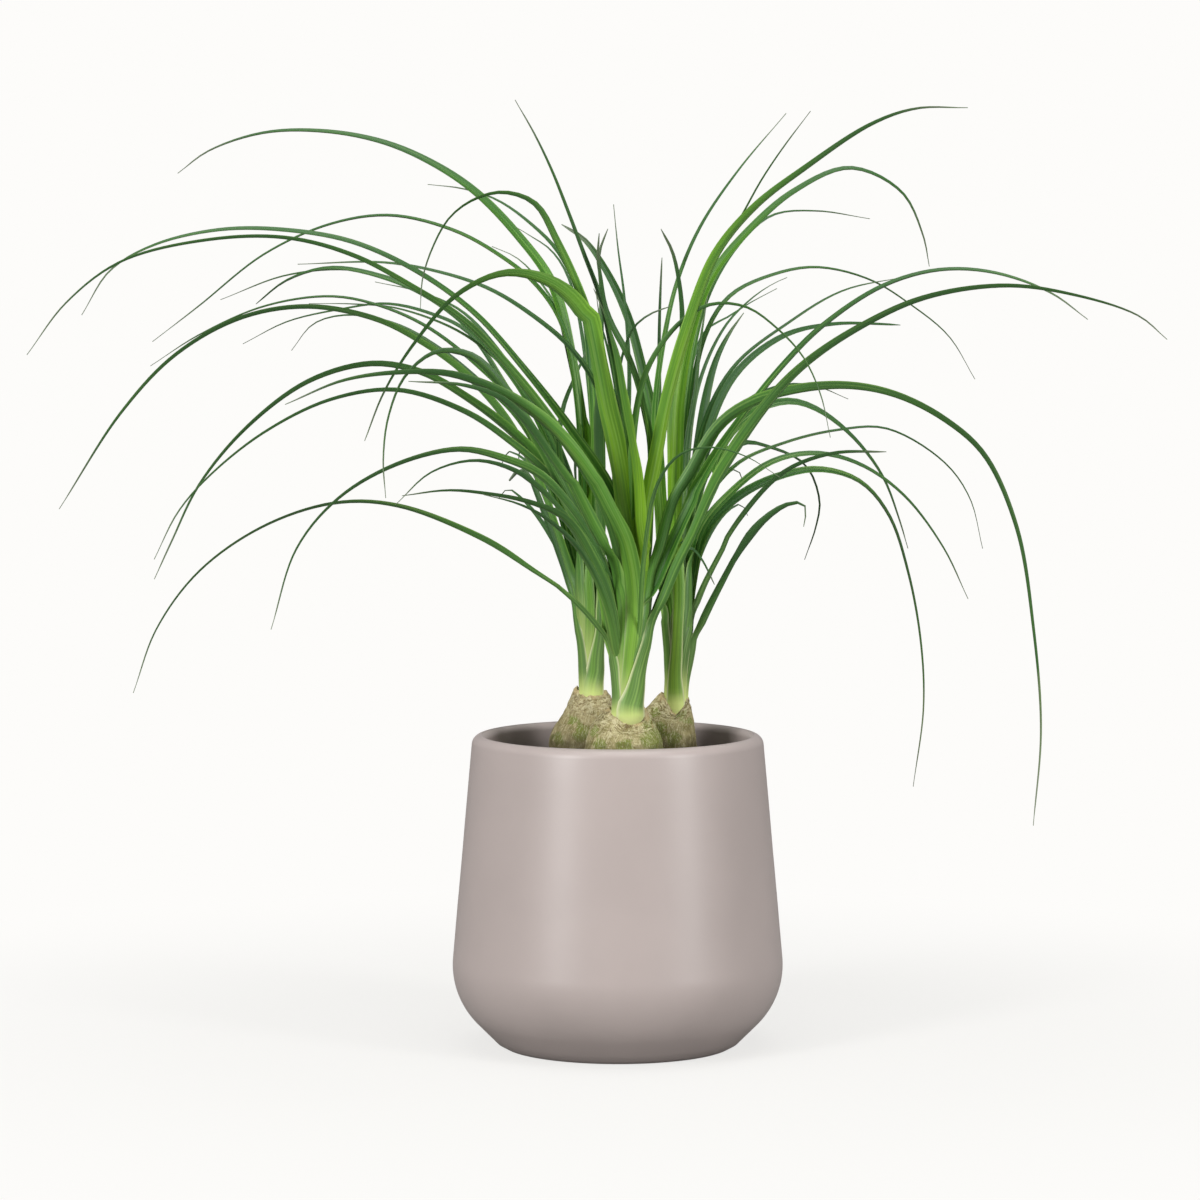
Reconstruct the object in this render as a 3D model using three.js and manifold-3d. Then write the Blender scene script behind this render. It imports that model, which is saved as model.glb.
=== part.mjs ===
// A ponytail palm in a round pot: three swollen stem bases planted together, each with its tuft of long
// arching leaves. Millimetres, +Z up. The origin is the centre of the pot's flat underside, and the plant
// is looked at from -Y.
import * as THREE from 'three';
import { ParametricGeometry } from 'three/addons/geometries/ParametricGeometry.js';
import { mergeVertices } from 'three/addons/utils/BufferGeometryUtils.js';
import Module from 'manifold-3d';

// Pot
const POT_HEIGHT = 143;
const POT_FLOOR = 8;
const POT_SIDES = 48;
const FOOT_RADIUS = 51;
const FOOT_EDGE = 2;
const CHAMFER_OFFSET = 53.6; // the chamfer runs at 45 degrees: radius = height + this
const SIDE_RADIUS_AT_BASE = 79.2; // the side's straight line, carried down to the floor
const SIDE_TAPER = 0.0925; // how much the radius shrinks for each millimetre of height
const BELLY_FILLET = 37;
const MOUTH_RADIUS = 60;
const LIP_ROUND = 4.5;

// Soil
const CLEARANCE = 0.3;
const SOIL_AT_WALL = 127.5;
const SOIL_MOUND = 9;
const SOIL_MOUND_RADIUS = 58;

// The place that the plant is looked at from. Leaves and stems are drawn as seen from there, across and
// up on the upright plane through the pot's axis, and then slid along the line of sight to their depth.
const EYE_DISTANCE = 2090;
const EYE_HEIGHT = 371;
const EYE_ACROSS = -8.1;

// Blades
const BLADE_THICK_AT_FOOT = 1.15;
const BLADE_THICK_AT_TIP = 0.7;
const BLADE_LEAST_WIDTH = 0.9;
const CHANNEL_DEPTH = 0.24; // of the width
const TURN_RUN = 0.5; // the share of its length in which a blade turns from its foot's set to its tip's
const TAPER = 0.7;
const DEPTH_BEND = 1.35; // above 1, a leaf rises first and leans to its depth later
const STEPS_A_SPAN = 1.3;

// Bulbs: the swollen stem bases. outline holds radius and height pairs as seen, from under the soil up to
// the bark's rim, axis the place of the bulb's middle and of its neck across, and bend the height at which
// the middle starts to drift to the neck and how far up it does. tilt and lean are the slopes of the rim
// from front to back and from left to right. A leaf whose tip is nearer than nearSide grows in front.
const BULBS = {
  front: {
    depth: -17,
    nearSide: -60,
    axis: [2.8, 4.3],
    bend: [143, 6.5],
    outline: [
      [5, 103], [9.5, 107.5], [13.5, 115], [16.6, 124], [17.9, 131],
      [17.7, 138.5], [16.8, 143.5], [15.2, 147.8], [12.9, 151.6], [10.6, 154.2], [9.3, 154.9],
    ],
    neck: 8.6,
    seat: 149.5,
    tilt: 0.3,
    lean: -0.07,
    lobes: 0.02,
  },
  left: {
    depth: 16,
    nearSide: 28,
    axis: [-14.4, -12],
    bend: [134, 24],
    outline: [
      [5, 108], [9, 112], [12.8, 119], [15.6, 128], [16.5, 136],
      [16.3, 144], [14.1, 149.5], [11.6, 154.5], [9.6, 158.5], [8, 161.8], [7.2, 162.6],
    ],
    neck: 6.7,
    seat: 158.5,
    tilt: 0.05,
    lean: -0.22,
    lobes: 0.035,
  },
  right: {
    depth: 16,
    nearSide: 28,
    axis: [22.3, 26.2],
    bend: [145, 11.5],
    outline: [
      [4.5, 110], [8, 114], [11, 121], [12.9, 129], [13.7, 137],
      [13.4, 145], [12.5, 149.5], [10.9, 153.6], [8.8, 157.4], [7.3, 160.2], [6.6, 161],
    ],
    neck: 6.2,
    seat: 156.5,
    tilt: 0.05,
    lean: -0.24,
    lobes: 0.04,
  },
};
const BULB_SIDES = 20;
const ROOTS_A_BULB = 4;
const ROOT_RADIUS = 2.2;
const ROOT_SIDES = 5;
const ROOT_STEPS = 4;
const ROOT_REACH = 24;
const ROOT_DROP = 52;
const ROOT_FAN = 0.9; // between neighbouring roots, which point away from the pot's middle

// Stems: the column of clasping leaf bases above each bulb, as middle, half width and height, as seen.
const STEMS = {
  front: [
    [4.3, 8.1, 150.2], [4.8, 7.6, 160], [4.7, 8.2, 173], [5.4, 9.6, 187], [6, 9.2, 203], [7, 4, 219],
  ],
  left: [
    [-12, 6.2, 159.2], [-12.2, 5.7, 170], [-12.1, 6.4, 182], [-12.6, 7.6, 197], [-13, 7, 211],
    [-13, 3, 226],
  ],
  right: [
    [26.2, 5.7, 157.2], [26.9, 5.8, 168], [27.6, 7, 181], [27, 7.6, 195], [28.4, 6, 210], [29, 3, 226],
  ],
};
const STEM_SIDES = 10;

// Leaves. Each row is a leaf: greatest width, depth of its tip, turn of the blade's face out of the level
// at its foot and at its tip in degrees, and the points that it passes, across and up as seen, from its
// foot in the stem to its tip. A last BLUNT marks a leaf whose end was cut or broken short, and a last BROAD
// one that stays broad almost to its tip: each is the power of the leaf's taper.
const BLUNT = 0.28;
const BROAD = 0.45;
const LEAVES = {
  front: [
    // low on the left
    [7, -110, 32, 15, [-0.8, 160, -1.6, 172, -6, 187, -20, 204.5, -40, 218.5, -62, 232, -100, 247, -128,
      248.5, -160, 238.5, -190, 218, -210, 191.5, -221, 162]],
    [7, -125, 62, 38, [0.4, 186, -1, 202, -7.5, 225, -16.5, 240.4, -34.8, 260.7, -52, 268.4, -72, 272.5,
      -100, 266, -127, 250.5, -146, 228, -158, 191]],
    [5.5, -115, 57, 34, [0, 178, -3.4, 204.5, -9.6, 224, -23, 242, -33.8, 253.6, -47, 263.3, -65, 267.8,
      -85, 262.5, -101, 248]],
    [7, -150, 57, 24, [1, 174, -4, 203, -13, 225, -23.7, 240.9, -39.9, 248.5, -62, 253, -78, 254.3, -98,
      252]],
    [4.5, -125, 62, 28, [1, 174, -5, 203, -18, 228, -34, 242.5, -46, 248.5, -61, 252.5]],
    [7.5, -95, 67, 45, [-2, 174, -6, 210, -20, 245, -38, 280, -55, 305, -67, 315.5, -82, 317, -96, 306.5,
      -104, 288, -106.5, 268, -105.5, 251]],
    // middle left
    [9.5, -75, 77, 23, [0, 172, -3, 200, -12, 228, -28, 257, -45, 277, -70, 296.5, -90, 307.5, -112, 311.2,
      -140, 303.5, -168, 283, -190, 257, -203, 231, -211, 214]],
    [6, -100, 67, 30, [0, 174, -4, 205, -15, 235, -32, 261, -50, 277, -70, 290, -100, 299.6, -130, 295.5,
      -160, 281, -185, 261.5, -200, 244.5, -211, 223]],
    [10.5, -115, 75, 38, [5.5, 165, 7.5, 205, 3.4, 232, -5.6, 250.5, -17, 268.5, -30, 283, -50, 297, -75,
      306.5, -100, 307.5, -125, 304, -151, 293.5]],
    [7.5, -40, 82, 32, [3, 172, 5, 215, -3, 252, -21.5, 281, -43, 309, -65, 334, -90, 352.5, -120, 366.5,
      -150, 372, -180, 372.3, -210, 365.5, -230, 354, -243, 334]],
    [8, -85, 82, 23, [2, 172, 3, 215, -7, 250, -27.5, 281, -46.5, 306, -70, 331, -92, 345.5, -120, 360.5,
      -150, 368.5, -185, 367.8, -225, 358, -250, 339.5, -268, 316]],
    [6, -20, 67, 35, [4, 172, 3, 230, -2, 275, -10, 301, -22, 319, -40, 334.3, -60, 346.3, -86, 354.5, -108,
      357.8, -145, 357]],
    // the broad one that folds over into an arch
    [14, -80, 85, 28, [8, 170, 8.5, 225, 2.2, 262, -5, 298, -13, 328, -28, 346, -50, 352, -72, 343, -92,
      321, -106, 299, -115, 277]],
    // heart, upright
    [9, -40, 85, 80, [8, 175, 13, 240, 13.8, 275, 11.4, 289, 7.8, 304, 2.7, 317.6, -2.8, 328, -6.5, 338,
      -8.5, 352, -9.5, 360, -8.5, 371], BROAD],
    [7.5, -45, 85, 60, [7, 172, 6, 235, 3, 280, -2, 310, -8, 340, -16, 362, -23, 381, -30, 399, -38, 416,
      -46.5, 431]],
    [9, -70, 85, 23, [4, 172, 4, 230, -1, 275, -8, 312, -17, 342, -28, 367, -38, 384, -52, 389, -65, 386,
      -76, 378, -84, 364, -88.5, 350, -89.5, 337]],
    [9, -20, 45, 40, [8, 172, 9.5, 225, 7, 262, 3, 288, -4, 318, -13, 344, -18, 352]],
    [11, -90, 85, 23, [11, 170, 11, 225, 13.5, 250, 18.5, 275, 24, 300, 33, 330, 45, 361, 62, 382, 85, 400,
      115, 420, 135, 427, 158, 427.5]],
    [6, -50, 82, 23, [8, 172, 12, 230, 17, 275, 27, 312, 37, 341, 45, 361, 55, 377, 65, 395, 75, 410, 87,
      426]],
    [5, -70, 67, 28, [8, 176, 6, 235, 8, 285, 14, 310, 28, 330, 42, 338.5, 58, 337.5, 72, 328, 84, 315, 92,
      298, 96.5, 278.5]],
    [5, -60, 67, 28, [6, 176, 0, 235, -1, 290, 3, 318, 8, 329, 15, 334.5, 24, 338], BROAD],
    // right
    [4.5, -110, 62, 28, [9, 176, 12, 225, 18, 257, 28, 270.5, 42, 274, 58, 270, 73.5, 260.5]],
    [4, -60, 40, 28, [11, 182, 20, 208, 28, 225, 33, 228, 38, 223, 44, 211.5], BROAD],
    [9.8, -80, 82, 23, [10, 178, 14, 209, 20.5, 235, 33.8, 263.5, 47, 284, 62, 294, 82, 299.5, 105, 301,
      126, 297, 148, 286, 166, 270, 181, 237, 189, 192, 193, 145, 190, 101]],
    [8.8, -45, 82, 28, [11, 172, 15.5, 205, 26, 231, 40.5, 262, 59, 290, 77, 312.5, 94, 329.3, 120, 346.6,
      145, 354, 170, 353, 196, 344, 213, 332]],
    [10.5, -110, 77, 23, [7.5, 162, 12.6, 183, 22, 208, 32, 230, 47, 262, 70, 295, 85, 310.6, 108, 326.6,
      138.5, 341, 175, 346.8, 206, 343, 236, 333.6, 249, 323]],
    // clasping the front of the stem on the left, and the dark edge beside the broad one
    [9.5, -95, 67, 34, [0.5, 165, 1.5, 200, -6.7, 230, -17, 250, -30.7, 270, -41.8, 285.4, -53, 296, -70,
      302, -95, 304]],
    [4.5, -32, 85, 60, [8, 176, 7.8, 240, 5.7, 278, 0, 306.8, -4, 321.6, -7, 331, -9.5, 345]],
  ],
  left: [
    [11, 40, 72, 28, [-12, 176, -14, 235, -16, 280, -22, 315, -31, 348, -46, 369.3, -65, 389, -84, 401.8,
      -106, 411.4, -132.6, 416.5, -160, 416, -185, 408, -199, 398]],
    [6, 75, 72, 23, [-11, 176, -10, 240, -12, 300, -17, 340, -27, 362, -40, 375.5, -55, 386, -70, 391, -86,
      393]],
    [5.5, 30, 67, 23, [-13, 176, -16, 240, -19, 295, -26, 330, -38, 348, -55, 361.5, -75, 372.2, -103,
      378.8, -130, 375, -160, 361.5, -190, 338, -211, 322]],
    [9, 22, 57, 23, [-15, 178, -22, 215, -32, 248, -50, 284, -70, 307, -90, 321.5, -110, 331.5, -140, 337.2,
      -170, 332.5, -200, 316, -225, 290, -254, 246]],
    [5, 65, 62, 23, [-14, 178, -20, 220, -30, 255, -46, 292, -62, 309, -86, 328, -108, 338, -130, 342.3,
      -160, 338, -190, 325, -212, 311]],
    [4, 100, 62, 23, [-13, 178, -18, 230, -30, 275, -45, 302, -60, 318, -75, 328, -100, 337, -120, 339,
      -140, 339.2]],
    [5.5, 115, 67, 30, [-13, 178, -16, 225, -27, 265, -42, 297, -58, 318, -78, 336.5, -100, 348.5, -130,
      355, -150, 349.5, -164, 339], BLUNT],
    [5.5, 135, 62, 23, [-12, 178, -15, 230, -28, 275, -45, 305, -66, 328, -90, 345, -118, 354, -150, 352,
      -180, 341]],
    [5, 150, 62, 28, [-14, 178, -18, 225, -33, 268, -52, 303, -68, 326, -85, 334.5, -105, 339, -126, 336.5,
      -150, 331, -170, 321]],
    [5, 85, 57, 28, [-14, 180, -19, 220, -30, 257, -45, 286, -62, 303, -80, 318, -100, 329.5, -122, 334,
      -138, 330, -148, 318]],
    [5, 165, 62, 28, [-12, 180, -15, 235, -30, 280, -50, 312, -70, 335, -90, 344.5, -110, 349]],
    [4, 125, 62, 28, [-11, 180, -10, 250, -14, 310, -22, 350, -30, 363, -40, 370, -50, 376]],
    [4, 95, 72, 28, [-12, 180, -14, 240, -18, 290, -26, 333, -36, 350, -46, 360, -57, 365]],
    [9, 24, 82, 80, [-9, 180, -6, 240, -6, 285, -6.5, 310, -7, 345, -8, 362, -4.5, 373], BROAD],
    [4, 28, 82, 48, [-8, 180, 0, 245, 5, 300, 3, 340, 0, 364, -2, 384]],
    [6, 60, 62, 28, [-13, 182, -22, 240, -27, 275, -25, 292, -20, 305, -15, 316, -10, 326]],
    // leaning away on the far side
    [6, 205, 82, 18, [-12, 178, -14, 220, -24, 252, -40, 272, -47, 270, -45, 250]],
    [6, 185, 72, 18, [-12, 178, -16, 215, -27, 248, -44, 268, -56, 270, -60, 258]],
    [5.5, 215, 85, 18, [-11, 178, -10, 225, -13, 255, -17, 272, -19, 268, -18, 245]],
    [5.5, 190, 62, 18, [-13, 178, -20, 212, -32, 236, -44, 250, -54, 252, -58, 242]],
    // short, outermost on the left, its tip bent over
    [6, 26, 65, 55, [-16, 165, -16.7, 182, -21, 203.5, -29, 230, -36, 250, -41.5, 261, -44.5, 263.8, -47,
      261.5, -49.3, 258.8]],
  ],
  right: [
    [8, 95, 82, 60, [25, 178, 21, 235, 18, 280, 12, 308, 5, 333, -5, 354, -15, 368, -25.5, 375], BROAD],
    [7.5, 110, 85, 75, [25, 178, 22, 240, 19.5, 300, 19.3, 330, 20, 360], BROAD],
    [9.5, 45, 85, 80, [26, 178, 26, 240, 27, 290, 30, 325, 29, 345, 25, 363, 19.5, 373], BROAD],
    [4.5, 70, 82, 28, [24, 178, 19, 240, 17, 290, 22, 328, 28, 352, 38, 375, 55, 400, 76, 425]],
    [10.5, 30, 85, 28, [27, 176, 26, 235, 28, 290, 34, 325, 44, 352, 60, 372, 80, 389.5, 105, 400, 128,
      389.5, 138, 370, 141, 356]],
    [5.5, 85, 72, 23, [27, 178, 28, 240, 31, 295, 40, 340, 55, 366, 70, 379, 90, 381, 114, 377.5]],
    [4.5, 110, 67, 23, [28, 178, 29, 235, 32, 285, 40, 325, 51, 342.5, 70, 352, 90, 355.5, 114, 350, 133,
      338.5, 150, 324.5, 162, 305]],
    [4, 140, 67, 28, [27, 180, 27, 240, 30, 295, 39.5, 326.4, 50, 333.2, 60, 339.6, 72, 346]],
    [4, 155, 67, 28, [28, 180, 30, 245, 36, 300, 48, 328, 60, 341, 70, 348, 76.6, 351]],
    [11, 150, 82, 38, [29, 178, 32, 230, 36, 272, 40, 298, 44.5, 314, 50, 325, 57, 335]],
    [4.5, 90, 67, 23, [29, 178, 32, 230, 38, 280, 52.5, 310, 78, 330.8, 102, 345, 131, 351.5]],
    [7.5, 150, 62, 28, [30, 178, 33, 225, 38, 270, 52, 305, 74, 323.6, 97, 329.5, 128, 329.5], BLUNT],
    [5.5, 50, 82, 48, [28, 180, 29, 240, 31, 275, 35, 300, 37, 320, 41, 345]],
    [9, 55, 62, 45, [30, 178, 33, 215, 40.5, 250, 50, 278, 64, 291, 78, 294.5, 90, 291, 106, 279, 120, 261,
      128, 241, 132, 228]],
    [3.5, 80, 57, 23, [30, 178, 33, 215, 38, 245, 54, 266, 76, 276, 100, 281.8, 122, 282.5, 148, 267.5, 160,
      251, 166, 228]],
    [7, 40, 57, 36, [31, 178, 33, 210, 38, 236, 50, 251.5, 70, 267, 90, 271, 110, 266, 130, 252, 148, 228.5,
      159.5, 205]],
    [8, 75, 57, 40, [32, 178, 33, 208, 40, 236, 53, 250, 72, 260, 92, 263.5, 110, 258, 123, 243, 132, 217,
      138, 185, 139.4, 155, 135, 119]],
    [6.5, 22, 52, 32, [29.5, 176, 35.6, 200, 45.5, 224, 57, 242.5, 76, 262.5, 97, 270.8, 122, 272], BROAD],
    [10, -15, 67, 38, [31, 168, 36.6, 190, 51.5, 220, 66, 240, 78, 248, 84.5, 248, 85.3, 243, 84.5, 238]],
    [6, 105, 57, 40, [31, 178, 33, 225, 40, 262, 56, 275.5, 70, 273.5, 85, 266, 91.5, 250, 90, 238, 85,
      223]],
    [5, 130, 62, 28, [29, 178, 32, 230, 42, 275, 60, 296, 77, 302.5, 90, 301.8, 104.5, 296]],
    // leaning away on the far side
    [6, 210, 82, 18, [27, 178, 27, 220, 30, 250, 34, 268, 36, 266, 36, 246]],
    [6, 190, 72, 18, [28, 178, 31, 215, 38, 244, 49, 262, 56, 262, 58, 246]],
    [5.5, 200, 72, 18, [27, 178, 24, 225, 21, 252, 18, 270, 16, 270, 16, 250]],
    [5.5, 185, 62, 18, [29, 178, 33, 212, 41, 233, 51, 244, 60, 242, 65, 230]],
  ],
};

const wasm = await Module();
wasm.setup();

// How much larger a thing is at a depth than it is drawn on the upright plane.
function growth(depth) {
  return (EYE_DISTANCE + depth) / EYE_DISTANCE;
}

function slideAcross(across, depth) {
  return EYE_ACROSS + (across - EYE_ACROSS) * growth(depth);
}

function slideUp(up, depth) {
  return EYE_HEIGHT + (up - EYE_HEIGHT) * growth(depth);
}

// From a place as seen on the upright plane to the point in line with it at a depth.
function slide(across, up, depth) {
  return new THREE.Vector3(slideAcross(across, depth), depth, slideUp(up, depth));
}

function ease(t) {
  const c = Math.min(1, Math.max(0, t));
  return c * c * (3 - 2 * c);
}

// A closed geometry as a solid that can be joined and cut. Faces that shrank to a line are left out.
function solid(geometry) {
  const bare = new THREE.BufferGeometry();
  bare.setAttribute('position', geometry.getAttribute('position'));
  bare.setIndex(geometry.index);
  const merged = mergeVertices(bare, 1e-4);
  const index = merged.index.array;
  const kept = [];
  for (let i = 0; i < index.length; i += 3) {
    const [a, b, c] = [index[i], index[i + 1], index[i + 2]];
    if (a !== b && b !== c && c !== a) kept.push(a, b, c);
  }
  return new wasm.Manifold(new wasm.Mesh({
    numProp: 3,
    vertProperties: new Float32Array(merged.attributes.position.array),
    triVerts: new Uint32Array(kept),
  }));
}

function geometryOf(body) {
  const mesh = body.getMesh();
  const stride = mesh.numProp;
  const positions = new Float32Array(mesh.numVert * 3);
  for (let i = 0; i < mesh.numVert; i++) {
    positions.set(mesh.vertProperties.subarray(i * stride, i * stride + 3), i * 3);
  }
  const geometry = new THREE.BufferGeometry();
  geometry.setAttribute('position', new THREE.BufferAttribute(positions, 3));
  geometry.setIndex(new THREE.BufferAttribute(mesh.triVerts, 1));
  geometry.computeVertexNormals();
  return geometry;
}

// A profile of radius and height pairs turned about the upright axis.
function turned(profile, sides) {
  const points = profile.map(([r, z]) => new THREE.Vector2(r, z));
  const geometry = new THREE.LatheGeometry(points, sides);
  geometry.rotateX(Math.PI / 2);
  return geometry;
}

function arcPoints(cx, cz, radius, from, to, steps) {
  const points = [];
  for (let i = 0; i <= steps; i++) {
    const a = from + (to - from) * i / steps;
    points.push([cx + radius * Math.cos(a), cz + radius * Math.sin(a)]);
  }
  return points;
}

// The pot's outside, from the middle of its underside up to the lip. The chamfer and the side are both
// tangent to the round belly between them.
function potOutside() {
  const sideAngle = Math.atan(SIDE_TAPER); // the side's outward normal, above the horizontal
  const side = (z) => SIDE_RADIUS_AT_BASE - SIDE_TAPER * z;
  const cornerZ = (SIDE_RADIUS_AT_BASE - CHAMFER_OFFSET) / (1 + SIDE_TAPER);
  const corner = [side(cornerZ), cornerZ];
  const half = (sideAngle + Math.PI / 4) / 2;
  const tangent = BELLY_FILLET * Math.tan(half);
  const upStart = [corner[0] - tangent * Math.SQRT1_2, corner[1] - tangent * Math.SQRT1_2];
  const centre = [upStart[0] - BELLY_FILLET * Math.SQRT1_2, upStart[1] + BELLY_FILLET * Math.SQRT1_2];
  const belly = arcPoints(centre[0], centre[1], BELLY_FILLET, -Math.PI / 4, sideAngle, 5);
  const lipCentreZ = POT_HEIGHT - LIP_ROUND;
  const lipOuter = side(lipCentreZ) - LIP_ROUND * 0.95;
  const lip = arcPoints(lipOuter, lipCentreZ, LIP_ROUND, sideAngle, Math.PI / 2, 4);
  return [
    [0, 0],
    [FOOT_RADIUS, 0],
    [FOOT_RADIUS + FOOT_EDGE * 0.9, FOOT_EDGE * 0.3],
    [CHAMFER_OFFSET + FOOT_EDGE, FOOT_EDGE],
    ...belly,
    ...lip,
  ];
}

// The pot's inside, from the lip down to the middle of its floor.
function potInside(clear = 0) {
  const inner = MOUTH_RADIUS - clear;
  return [
    [inner + 2, POT_HEIGHT],
    [inner + 0.4, POT_HEIGHT - 1],
    [inner, POT_HEIGHT - 3],
    [inner + 3, 110],
    [inner + 5.5, 60],
    [inner + 5, 38],
    [inner - 1, 24 + clear],
    [inner - 12, POT_FLOOR + 3 + clear],
    [inner - 18, POT_FLOOR + clear],
    [0, POT_FLOOR + clear],
  ];
}

function makePot() {
  return turned([...potOutside(), ...potInside()], POT_SIDES);
}

// A bulb's outline as true radius and height pairs, grown by grow for its hole in the soil.
function bulbProfile(bulb, grow) {
  const k = growth(bulb.depth);
  const shell = bulb.outline.map(([radius, up], i) => {
    const lower = i < 4 ? grow : 0;
    return [radius * k + grow, slideUp(up, bulb.depth) - lower];
  });
  const foot = [0, shell[0][1] - 1.5 - grow];
  const rim = shell.at(-1)[1];
  if (grow > 0) return [foot, ...shell, [0, rim]];
  const seat = slideUp(bulb.seat, bulb.depth);
  return [foot, ...shell, [bulb.neck * k, rim - 0.5], [bulb.neck * k, seat], [0, seat]];
}

// The bulb stands a little askew: its middle drifts to the neck, its rim slopes and its flanks are faintly
// lobed.
function skewed(point, bulb) {
  const middle = slideAcross(bulb.axis[0], bulb.depth);
  const neck = slideAcross(bulb.axis[1], bulb.depth);
  const angle = Math.atan2(point.y, point.x);
  const rise = ease((point.z - bulb.bend[0]) / bulb.bend[1]);
  const rim = slideUp(bulb.outline.at(-1)[1], bulb.depth);
  const seat = slideUp(bulb.seat, bulb.depth);
  const high = ease((point.z - seat) / (rim - seat));
  const low = ease((150 - point.z) / 12);
  const waves = Math.cos(3 * angle + bulb.depth) + 0.6 * Math.cos(5 * angle - 1);
  const lobe = 1 + bulb.lobes * low * waves;
  point.z += bulb.tilt * point.y * ease((point.z - 140) / 10) + bulb.lean * point.x * high;
  point.x = point.x * lobe + middle + (neck - middle) * rise;
  point.y = point.y * lobe + bulb.depth;
  return point;
}

function skewGeometry(geometry, bulb) {
  const position = geometry.getAttribute('position');
  const point = new THREE.Vector3();
  for (let i = 0; i < position.count; i++) {
    point.fromBufferAttribute(position, i);
    skewed(point, bulb);
    position.setXYZ(i, point.x, point.y, point.z);
  }
  return geometry;
}

// One of the thick roots that run out and down from the crown, thinning to its end.
function makeRoot(bulb, number, grow) {
  const x = slideAcross(bulb.axis[0], bulb.depth);
  const z = slideUp(bulb.outline[1][1], bulb.depth);
  const turn = Math.atan2(bulb.depth, x) + (number - (ROOTS_A_BULB - 1) / 2) * ROOT_FAN;
  const reach = ROOT_REACH - 4 * (number % 2);
  const out = [0.1 * reach, 0.42 * reach, 0.8 * reach, reach];
  const down = [-6, 8, 28, ROOT_DROP - 9 * (number % 3)];
  const points = out.map((o, i) => {
    const angle = turn + 0.1 * i;
    return new THREE.Vector3(x + o * Math.cos(angle), bulb.depth + o * Math.sin(angle), z - down[i]);
  });
  const curve = new THREE.CatmullRomCurve3(points, false, 'centripetal');
  const thickness = (t) => ROOT_RADIUS * (1 - 0.6 * t) + grow;
  return tube(curve, thickness, ROOT_SIDES, ROOT_STEPS, grow);
}

// A closed tube along a curve with a radius for each place on it, and flat ends moved out by stretch.
function tube(curve, radius, sides, steps, stretch) {
  const rows = steps + 2;
  return new ParametricGeometry((u, v, target) => {
    const row = Math.round(v * rows);
    const t = Math.min(1, Math.max(0, (row - 1) / steps));
    const along = curve.getTangent(t);
    const side = new THREE.Vector3(-along.y, along.x, 0).normalize();
    const front = new THREE.Vector3().crossVectors(along, side);
    const r = row === 0 || row === rows ? 0 : radius(t);
    const angle = 2 * Math.PI * (u - Math.floor(u));
    target.copy(curve.getPoint(t));
    if (t === 0) target.addScaledVector(along, -stretch);
    if (t === 1) target.addScaledVector(along, stretch);
    target.addScaledVector(side, r * Math.cos(angle)).addScaledVector(front, r * Math.sin(angle));
  }, sides, rows);
}

function makeBulb(bulb, grow = 0) {
  let body = solid(skewGeometry(turned(bulbProfile(bulb, grow), BULB_SIDES), bulb));
  for (let i = 0; i < ROOTS_A_BULB; i++) {
    body = body.add(solid(makeRoot(bulb, i, grow)));
  }
  return body;
}

function soilTop(x, y) {
  const r = Math.hypot(x, y - 2);
  const mound = SOIL_MOUND * ease(1 - r / SOIL_MOUND_RADIUS);
  return SOIL_AT_WALL + mound + 0.5 * Math.sin(x * 0.31 + 1) * Math.cos(y * 0.27);
}

function makeSoil() {
  const wall = potInside(CLEARANCE).filter(([, z]) => z < SOIL_AT_WALL);
  const lean = 3 / (POT_HEIGHT - 3 - 110); // of the pot's inner wall above 110 mm
  const rim = [MOUTH_RADIUS - CLEARANCE + lean * (POT_HEIGHT - 3 - SOIL_AT_WALL), SOIL_AT_WALL];
  const profile = [...wall.reverse(), rim];
  for (let r = 50; r > 0; r -= 10) profile.push([r, SOIL_AT_WALL]);
  profile.push([0, SOIL_AT_WALL]);
  const geometry = turned(profile, POT_SIDES);
  const position = geometry.getAttribute('position');
  for (let i = 0; i < position.count; i++) {
    const [x, y, z] = [position.getX(i), position.getY(i), position.getZ(i)];
    if (z > SOIL_AT_WALL - 0.01) position.setZ(i, soilTop(x, y));
  }
  let body = solid(geometry);
  for (const bulb of Object.values(BULBS)) body = body.subtract(makeBulb(bulb, CLEARANCE));
  return body;
}

// The column of clasping leaf bases, standing in the seat in the top of its bulb.
function makeStem(rings, bulb) {
  const k = growth(bulb.depth);
  const profile = rings.map(([, radius, up]) => [radius * k, slideUp(up, bulb.depth)]);
  const first = profile[0][1];
  const geometry = turned([[0, first], ...profile, [0, profile.at(-1)[1] + 2]], STEM_SIDES);
  const position = geometry.getAttribute('position');
  const point = new THREE.Vector3();
  const neck = slideAcross(bulb.axis[1], bulb.depth);
  for (let i = 0; i < position.count; i++) {
    point.fromBufferAttribute(position, i);
    let ring = 0;
    while (ring < rings.length - 2 && point.z > profile[ring + 1][1]) ring++;
    const rise = profile[ring + 1][1] - profile[ring][1];
    const share = Math.min(1, (point.z - profile[ring][1]) / rise);
    const across = rings[ring][0] + (rings[ring + 1][0] - rings[ring][0]) * share;
    const middle = slideAcross(across, bulb.depth);
    const low = 1 - ease((point.z - first) / 8);
    point.z += bulb.tilt * point.y * low;
    point.x += neck + (middle - neck) * (1 - low);
    point.y += bulb.depth;
    position.setXYZ(i, point.x, point.y, point.z);
  }
  return solid(geometry);
}

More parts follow.
